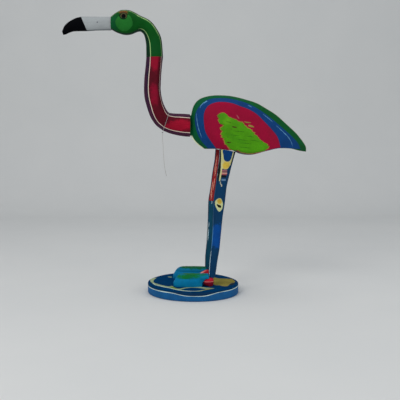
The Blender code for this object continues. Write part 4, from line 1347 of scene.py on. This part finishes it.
def heel_rails(centre_y, z, count=34):
    """Both sides of the heel's plan at this height: a bullet nose towards the toe and a round back."""
    away = abs(z - HEEL_SEAM + 0.001) / 0.0110
    front = HEEL_NOSE + (0.0125 if z > HEEL_SEAM else 0.0080) * away ** 2
    top = max(0.0, (z - 0.0460) / 0.0060)
    half = HEEL_HALF - 0.0034 * top ** 2 - 0.0028 * away ** 2
    back = HEEL_BACK - 0.0030 * top ** 2 - 0.0022 * away ** 2
    line = [(front + 0.0130 * (1 - math.cos(a)), half * math.sin(a)) for a in (0.0, 0.35, 0.7, 1.05, 1.4)]
    line += [(back - half + half * math.sin(a), half * math.cos(a)) for a in (0.0, 0.4, 0.8, 1.2, 1.5708)]
    rail = even_points(line, count)
    return [rail * (1, sign) + (0.0, centre_y) for sign in (1, -1)]


def make_foot(word, side, looks):
    y = side * ANKLE_Y
    low = BASE_TOP - 0.0004
    sole = (
        (low, 0.0010), (low + 0.0010, 0.0002), (0.0330, 0.0), (0.0380, 0.0), (0.0420, 0.0002),
        (0.0455, 0.0006),
        (0.0480, 0.0012), (FOOT_SPLIT, 0.0020),
    )
    rows = [(z, *foot_rails(y, z, inset, FOOT_REAR + 1.1 * max(0.0, z - 0.0400))) for z, inset in sole]
    piece = carved(f"{word}_foot_teal_block", rows, looks["teal"], axis="Z", relief=0.0004, groove=0.0)
    wears(piece, "teal_foam", f"{word}_foot_sole")
    rows = []
    for i in range(13):
        turn = math.pi / 2 * i / 12
        z = FOOT_SPLIT + FILM + (FOOT_TOP - FOOT_SPLIT) * math.sin(turn)
        inset = 0.0020 + 0.0195 * (1 - math.cos(turn)) ** 1.15
        rows.append((z, *foot_rails(y, z, inset, FOOT_TOP_REAR - 0.20 * inset)))
    piece = carved(
        f"{word}_foot_green_sheet", rows, looks[f"foot_green_{word}"], axis="Z", relief=0.0004,
        groove=0.0,
    )
    wears(piece, "green_foam", f"{word}_foot_top")
    # Heel blocks, all one red foam: the lower block's darker red is painted shade, and the thin pink band
    # between the blocks at the heel's nose is a painted highlight.
    for name, start, end, steps, look, nodes in (
        ("lower", HEEL_LOW, HEEL_SEAM - 0.0008, 9, "heel_painted_shade", ["heel_lower"]),
        ("highlight_band", HEEL_SEAM - 0.00075, HEEL_SEAM + 0.0008, 2, "heel_painted_highlight", []),
        ("upper", HEEL_SEAM + 0.00085, HEEL_TOP, 9, "heel_red", ["heel_upper"]),
    ):
        rows = [(z, *heel_rails(y, z)) for z in np.linspace(start, end, steps + 1)]
        piece = carved(f"{word}_heel_{name}_block", rows, looks[look], axis="Z", relief=0.0003, groove=0.0001)
        wears(piece, "red_foam", *[f"{word}_{n}" for n in nodes])
    rail = even_points(ARCH, 24)
    rows = [(z, rail * (1, 1) + (0.0, y), rail * (1, -1) + (0.0, y)) for z in np.linspace(0.0390, 0.0510, 8)]
    wears(carved(f"{word}_foot_arch", rows, looks["teal"], axis="Z", groove=0.0), "teal_foam")
    levels = (-0.0020, -0.0016, -0.0009, 0.0, 0.0009, 0.0016, 0.0020)
    # The wedge's material paints a highlight along its upper edge and shade below it.
    wedge = limb_piece(f"{word}_heel_wedge", HEEL_WEDGE, levels, side, looks["wedge"], 2.0, 50, groove=0.0)
    wedge.data.transform(Matrix.Translation((0.0, y - side * 0.0152, 0.0)))
    wears(wedge, "red_foam")


# ---------------------------------------------------------------- base

BASE_R = 0.130
BASE_STEPS = 144
CLIMB, BACK_LIFT = 0.0073, 0.0020
PALE_REGION = (
    (-0.1142, 0.0560), (-0.1212, 0.0440), (-0.1240, 0.0250), (-0.1227, 0.0030), (-0.1179, -0.0180),
    (-0.1088, -0.0453),
    (-0.0974, -0.0586), (-0.0861, -0.0718), (-0.0750, -0.0809), (-0.0640, -0.0912), (-0.0559, -0.1026),
    (-0.0451, -0.1126),
    (-0.0371, -0.1189), (-0.0265, -0.1240), (-0.0132, -0.1268), (0.0002, -0.1275), (0.0139, -0.1255),
    (0.0225, -0.1176),
    (0.0311, -0.1101), (0.0425, -0.1013), (0.0557, -0.0886), (0.0518, -0.0860), (0.0303, -0.0770),
    (0.0140, -0.0692),
    (-0.0027, -0.0692), (-0.0167, -0.0731), (-0.0309, -0.0847), (-0.0420, -0.0924), (-0.0502, -0.0847),
    (-0.0556, -0.0718),
    (-0.0610, -0.0560), (-0.0666, -0.0626), (-0.0750, -0.0626), (-0.0862, -0.0493), (-0.0977, -0.0358),
    (-0.1093, -0.0180),
    (-0.1140, 0.0030), (-0.1130, 0.0220), (-0.1100, 0.0400), (-0.1060, 0.0560),
)
NAVY_SLIVER = (
    (-0.0368, -0.1051), (-0.0256, -0.0924), (-0.0115, -0.0835), (0.0078, -0.0835), (0.0239, -0.0924),
    (0.0302, -0.1013),
    (0.0229, -0.1101), (0.0088, -0.1201), (-0.0075, -0.1238), (-0.0235, -0.1176),
)
DARK_SPOT = ((0.1015, -0.0412), (0.1086, -0.0263), (0.1182, -0.0166), (0.1158, -0.0317), (0.1082, -0.0453))
PALE_FLECK = ((-0.0725, 0.0722), (-0.0600, 0.0692), (-0.0625, 0.0610), (-0.0690, 0.0640))
OCHRE = (
    (0.0632, 0.0554), (0.0791, 0.0494), (0.0966, 0.0465), (0.1081, 0.0435), (0.1165, 0.0391),
    (0.1224, 0.0059),
    (0.1172, -0.0124), (0.1078, -0.0208), (0.1018, -0.0385), (0.0926, -0.0613), (0.0789, -0.0586),
    (0.0713, -0.0480),
    (0.0628, -0.0493), (0.0570, -0.0317),
)


def wave(turns, size, phase):
    """How a glue line wanders up and down round the base's rim."""
    swing = np.sin(3 * turns + phase) + 0.5 * np.sin(7 * turns + 2 * phase)
    return size * (swing + 0.3 * np.sin(13 * turns + 3 * phase))


def line_climb(turns):
    """How far the glue line has climbed the rim: none at the middle of the front, all on the right."""
    right = np.degrees(turns) + 90
    left = 360 - right
    climb = smooth_step(8, 34, right) * (1 - 0.26 * smooth_step(80, 150, right))
    return np.where(right < 180, climb, 0.74 * smooth_step(8, 32, left))


def rim_rows(levels):
    """Rows for a base layer; a level is height, radius, wave size, wave phase, climb, share of the lift."""
    rows = []
    half = BASE_STEPS // 2
    turns = np.linspace(0.0, 2 * math.pi, BASE_STEPS, endpoint=False) - math.pi / 2
    for height, radius, size, phase, rise, lift in levels:
        x, y = radius * np.cos(turns), radius * np.sin(turns)
        z = height + wave(turns, size, phase) + rise * line_climb(turns)
        z = z + BACK_LIFT * lift * (y > 0) * smooth_step(0.4, 1.0, y / radius)
        ring = np.stack([x, y, z], axis=1)
        rows.append((ring[:half], ring[half:][::-1]))
    return rows


def base_piece(name, levels, look, relief=0.00018):
    """A disc layer whose upper and lower faces follow the wavy glue lines."""
    grid = np.array([np.concatenate([rail, other[::-1]]) for rail, other in rim_rows(levels)])
    normals = sheet_normals(grid)
    for i in range(1, len(grid) - 1):
        marks = np.array([ripple(p, 0.02) for p in grid[i]])
        grid[i] += normals[i] * (marks * relief)[:, None]
    rows, count = grid.shape[:2]
    faces = ring_faces(rows, count)
    points = [tuple(p) for p in grid.reshape(-1, 3)]
    for start, level in ((0, levels[0]), ((rows - 1) * count, levels[-1])):
        rings = [list(range(start, start + count))]
        for share in (0.93, 0.8, 0.6, 0.35):
            ring = []
            for j in range(count):
                x, y, z = points[start + j]
                ring.append(len(points))
                points.append((x * share, y * share, level[0] + (z - level[0]) * share ** 3))
            rings.append(ring)
        for a, b in zip(rings, rings[1:]):
            faces += [(a[j], a[(j + 1) % count], b[(j + 1) % count], b[j]) for j in range(count)]
        faces.append(tuple(rings[-1]))
    return finish_mesh(name, points, faces, look, 50)


def make_base(looks):
    g, r = GROOVE, BASE_R
    bottom = (
        (0.0, r - 0.0016, 0, 0, 0, 0), (0.0006, r - 0.0005, 0, 0, 0, 0), (0.0020, r, 0, 0, 0, 0),
        (0.0060, r, 0, 0, 0, 0),
        (0.0095, r, 0.0002, 1, 0.5 * CLIMB, 0), (0.0137, r, 0.0004, 1, CLIMB, 0),
        (0.0139, r - g, 0.0004, 1, CLIMB, 0),
    )
    cream = (
        (0.01395, r - g, 0.0004, 1, CLIMB, 0), (0.0141, r, 0.0004, 1, CLIMB, 0),
        (0.0156, r, 0.0004, 2, CLIMB, 0),
        (0.0158, r - g, 0.0004, 2, CLIMB, 0),
    )
    middle = (
        (0.01585, r - g, 0.0004, 2, CLIMB, 0), (0.0161, r, 0.0004, 2, CLIMB, 0),
        (0.0205, r, 0.0003, 3, 0.5 * CLIMB, 0.3),
        (0.0240, r, 0.0002, 4, 0.1 * CLIMB, 0.6), (0.0248, r - g, 0.0002, 4, 0, 0.8),
    )
    top = (
        (0.02485, r - g, 0.0002, 4, 0, 0.8), (0.0251, r, 0.0002, 4, 0, 0.8),
        (0.0266, r - 0.0002, 0, 4, 0, 0.9),
        (0.0273, r - 0.0008, 0, 0, 0, 1), (0.0277, r - 0.0020, 0, 0, 0, 1),
    )
    for name, levels, look, slot, sheet in (
        ("blue", bottom, "base_blue", "blue_foam", "bottom"),
        ("cream", cream, "base_cream", "cream_foam", "lower_cream"),
        ("navy", middle, "base_navy", "navy_foam", "middle"),
        ("top", top, "base_top", "navy_foam", "top"),
    ):
        piece = base_piece(f"base_{name}_disc", levels, looks[look])
        wears(piece, slot, f"base_{sheet}_sheet")
    disc_top = piece
    skin = surface_of([disc_top])

    def laid(name, points, look, proud, slot, *nodes, step=0.0024):
        shape = ragged(closed_curve(points, 0.0016), 0.0008, 0.009, 6.0)
        return laid_skin(
            name, shape, skin, looks[look], 1, slot, *nodes,
            proud=proud, edge=0.0014, step=step, axis="Z", fine=0.00008,
        )

    pale = laid("base_pale_sheet", PALE_REGION, "base_pale", 0.0002, "yellow_foam", "base_upper_cream_sheet")
    laid("base_ochre", OCHRE, "ochre", 0.0002, "yellow_foam")
    laid("base_pale_fleck", PALE_FLECK, "base_pale", 0.0002, "yellow_foam", step=0.0015)
    skin = surface_of([pale])
    edge = strip_round([(0.985 * x, 0.985 * y) for x, y in PALE_REGION[4:17]], 0.0034)
    laid_skin(
        "base_pale_edge", edge, skin, looks["base_cream"], 1, "cream_foam",
        proud=0.0002, edge=0.0006, step=0.0015, axis="Z",
    )
    laid("base_navy_sliver", NAVY_SLIVER, "base_top", 0.0003, "navy_foam")
    skin = surface_of([disc_top])
    laid("base_dark_spot", DARK_SPOT, "spot", 0.0006, "navy_foam", step=0.0015)


# ---------------------------------------------------------------- all together

def make_looks():
    dark_maroon = (58, 4, 16)
    return {
        "lip": foam("body_lip_foam", (212, 220, 186), variation=0.1),
        "neck_cream": foam("neck_cream_foam", (206, 190, 174), variation=0.1),
        "nostril": foam("nostril_foam", (84, 88, 96)),
        "lime_dark": foam("lime_dark_foam", (36, 88, 10)),
        "spot": foam("base_spot_foam", (14, 26, 30)),
        "purple": foam("neck_purple_foam", (60, 28, 50), [
            ((-0.1290, 0.0, 0.60), (0.0060, 0.02, 0.075), 0, (34, 26, 48), 0.5),
        ]),
        "cream": foam("cream_foam", (158, 154, 134), variation=0.12),
        "neck_middle": foam("neck_maroon_foam", (76, 6, 22), [
            ((-0.1090, 0.0, 0.6640), (0.0125, 1.0, 0.0260), 0, (132, 6, 36), 0.5),
            ((-0.1120, 0.0, 0.5660), (0.0125, 1.0, 0.0270), 0, (122, 6, 36), 0.5),
            ((-0.0960, 0.0, 0.6100), (0.0050, 1.0, 0.0600), 0, dark_maroon, 0.5),
        ]),
        "neck_lower": foam("neck_crimson_foam", (80, 6, 24), [
            ((-0.0400, 0.0, 0.4790), (0.0420, 1.0, 0.0165), -4, (140, 8, 36), 0.3),
        ]),
        "dark_green": foam("head_dark_green_foam", (6, 42, 24)),
        "pale_green": foam("head_pale_foam", (146, 184, 118), variation=0.12),
        "head_green": foam("head_green_foam", (2, 70, 16), [
            ((-0.2270, 0.0, 0.7720), (0.0140, 1.0, 0.0300), 0, (1, 72, 34), 0.5),
            ((-0.1090, 0.0, 0.7000), (0.0200, 1.0, 0.0280), 0, (1, 68, 22), 0.5),
            ((-0.1995, 0.0, 0.8040), (0.0125, 1.0, 0.0105), 0, (100, 56, 22), 0.25),
        ]),
        "cheek": foam("cheek_green_foam", (26, 98, 34), variation=0.14),
        "eye_dark": foam("eye_surround_foam", (3, 34, 12)),
        "tan": foam("eye_tan_foam", (76, 74, 44)),
        "pupil": glossy("eye_pupil_black", (4, 4, 6)),
        "beak_grey": foam("beak_grey_foam", (92, 98, 102)),
        "beak_white": foam("beak_white_foam", (146, 151, 153), variation=0.07, pores=0.2),
        "black": foam("black_foam", (6, 7, 11), gain=0.8, specular=0.02),
        "body_green": foam("body_green_foam", (4, 77, 43), [
            ((0.2600, 0.0, 0.5000), (0.1300, 1.0, 0.1000), 35, (8, 74, 32), 0.4),
        ]),
        "body_blue": foam("body_blue_foam", (8, 54, 106)),
        "body_magenta": foam("body_magenta_foam", (136, 6, 44), variation=0.1),
        "body_lime": foam("body_lime_foam", (68, 136, 12), [
            ((0.1200, 0.0, 0.4400), (0.0260, 1.0, 0.0070), 30, (62, 130, 12), 0.5),
            ((0.0960, 0.0, 0.4900), (0.0120, 1.0, 0.0100), 0, (84, 148, 18), 0.5),
        ], variation=0.14),
        "slit": foam("lime_slit_foam", (62, 34, 18)),
        "fringe": foam("torn_fringe_foam", (140, 112, 48), variation=0.3),
        "pink_fleck": foam("pink_fleck_foam", (158, 74, 84)),
        "olive_fleck": foam("olive_fleck_foam", (124, 112, 50), variation=0.3),
        # Painted highlight on the blue sheet's rim.
        "painted_blue_highlight": foam("blue_rim_highlight_paint", (82, 130, 168)),
        "leg_outer": foam("leg_navy_foam", (6, 50, 84), [
            ((0.0655, 0.0, 0.1655), (0.0240, 1.0, 0.0335), -7, (2, 64, 132), 0.14),
        ]),
        "leg_core": foam("leg_core_foam", (8, 44, 68)),
        "leg_line": foam("leg_line_foam", (40, 88, 126), [
            ((0.0460, 0.0, 0.1850), (0.0150, 1.0, 0.0500), 0, (82, 132, 176), 0.4),
            ((0.0430, 0.0, 0.0850), (0.0080, 1.0, 0.0420), 0, (178, 200, 206), 0.4),
            ((0.0720, 0.0, 0.3700), (0.0090, 1.0, 0.0500), 0, (158, 166, 170), 0.4),
            ((0.1150, 0.0, 0.2200), (0.0300, 1.0, 0.2000), 0, (16, 50, 76), 0.3),
        ]),
        # Painted shade: the inner line's cream painted dark in the gap between the legs; the patch is the
        # cream's own colour where it shows.
        "shaded_inner_leg_line": foam("inner_leg_line_painted_shade", (20, 46, 62), [
            ((0.0470, 0.0, 0.1610), (0.0100, 1.0, 0.0240), 0, (190, 196, 184), 0.4),
        ]),
        "line_bright": foam("leg_bright_line_foam", (172, 196, 206)),
        "line_blue": foam("leg_blue_line_foam", (66, 122, 166)),
        "shank_inner": foam("shank_inner_foam", (12, 66, 88)),
        "thigh_inner": foam("thigh_inner_foam", (136, 34, 38), variation=0.2),
        "salmon": foam("salmon_foam", (206, 142, 120), variation=0.3),
        "mauve": foam("mauve_foam", (92, 54, 72), variation=0.2),
        "thigh_yellow": foam("thigh_yellow_foam", (184, 180, 124), [
            ((0.0920, 0.0, 0.3660), (0.0110, 1.0, 0.0120), 0, (186, 160, 62), 0.35),
        ]),
        "thigh_blue": foam("thigh_blue_foam", (2, 48, 98)),
        "knee_yellow": foam("knee_yellow_foam", (178, 184, 134), [
            ((0.0722, 0.0, 0.2640), (0.0065, 1.0, 0.0075), 0, (170, 144, 54), 0.35),
        ]),
        "knee_dark": foam("knee_dark_foam", (20, 26, 18)),
        "teal": foam("foot_teal_foam", (0, 110, 154)),
        "foot_green_left": foam("left_foot_top_foam", (0, 102, 136), [
            ((-0.0140, -0.0560, 0.0560), (0.0400, 0.0300, 0.0078), -4, (4, 100, 44), 0.35),
        ]),
        "foot_green_right": foam("right_foot_top_foam", (0, 98, 134), [
            ((0.0000, 0.0540, 0.0645), (0.0520, 0.0400, 0.0085), 4, (4, 84, 46), 0.3),
        ]),
        # The wedge's patches: a pale pink painted highlight along its upper edge and dark red painted shade
        # below it.
        "wedge": foam("heel_wedge_painted_light_foam", (176, 28, 44), [
            ((0.0270, 0.0, 0.0468), (0.0125, 1.0, 0.0017), -26, (226, 156, 144), 0.4),
            ((0.0370, 0.0, 0.0408), (0.0160, 1.0, 0.0045), 0, (92, 10, 20), 0.4),
        ]),
        # Heel reds: the darker copy is painted shade on the lower block, and the pink is a painted highlight
        # round the heel's nose.
        "heel_painted_shade": foam("heel_painted_shade_foam", (122, 14, 36)),
        "heel_red": foam("heel_red_foam", (172, 28, 48)),
        "heel_painted_highlight": foam("heel_painted_highlight_foam", (214, 122, 114), variation=0.2),
        "base_blue": foam("base_blue_foam", (22, 82, 132)),
        "base_cream": foam("base_cream_foam", (186, 206, 202), variation=0.14),
        "base_navy": foam("base_navy_foam", (4, 44, 78)),
        "base_pale": foam("base_pale_foam", (140, 156, 120), [
            ((-0.0500, -0.0800, 0.0280), (0.0200, 0.0120, 0.05), 0, (108, 130, 50), 0.5),
            ((0.0350, -0.1050, 0.0280), (0.0260, 0.0100, 0.05), 0, (126, 128, 74), 0.5),
        ], variation=0.22, roughness=0.8, specular=0.01),
        "base_top": foam("base_top_foam", (0, 50, 90), roughness=0.8, specular=0.005),
        "ochre": foam("base_ochre_foam", (128, 120, 58), variation=0.25, roughness=0.8, specular=0.01),
    }


def make_hidden_bars():
    """The rods and dowels are the CAD's own, with bar materials."""
    steel = plain_bar("rod_steel", (176, 178, 182), 1.0, 0.32, (900.0, 900.0, 30.0))
    wood = plain_bar("dowel_wood", (196, 158, 108), 0.0, 0.6, (40.0, 700.0, 700.0))
    for name in ("left_leg_rod", "right_leg_rod", "neck_dowel", "beak_dowel"):
        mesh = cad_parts[name].data
        mesh.materials.clear()
        mesh.materials.append(steel if "rod" in name else wood)


def main():
    make_camera()
    make_stage()
    make_light()
    make_string()
    looks = make_looks()
    make_base(looks)
    make_body(looks)
    make_neck(looks)
    make_head(looks)
    make_beak(looks)
    for word, side in SIDES:
        make_leg(word, side, looks)
        make_foot(word, side, looks)
    make_hidden_bars()
    bpy.context.view_layer.update()


main()
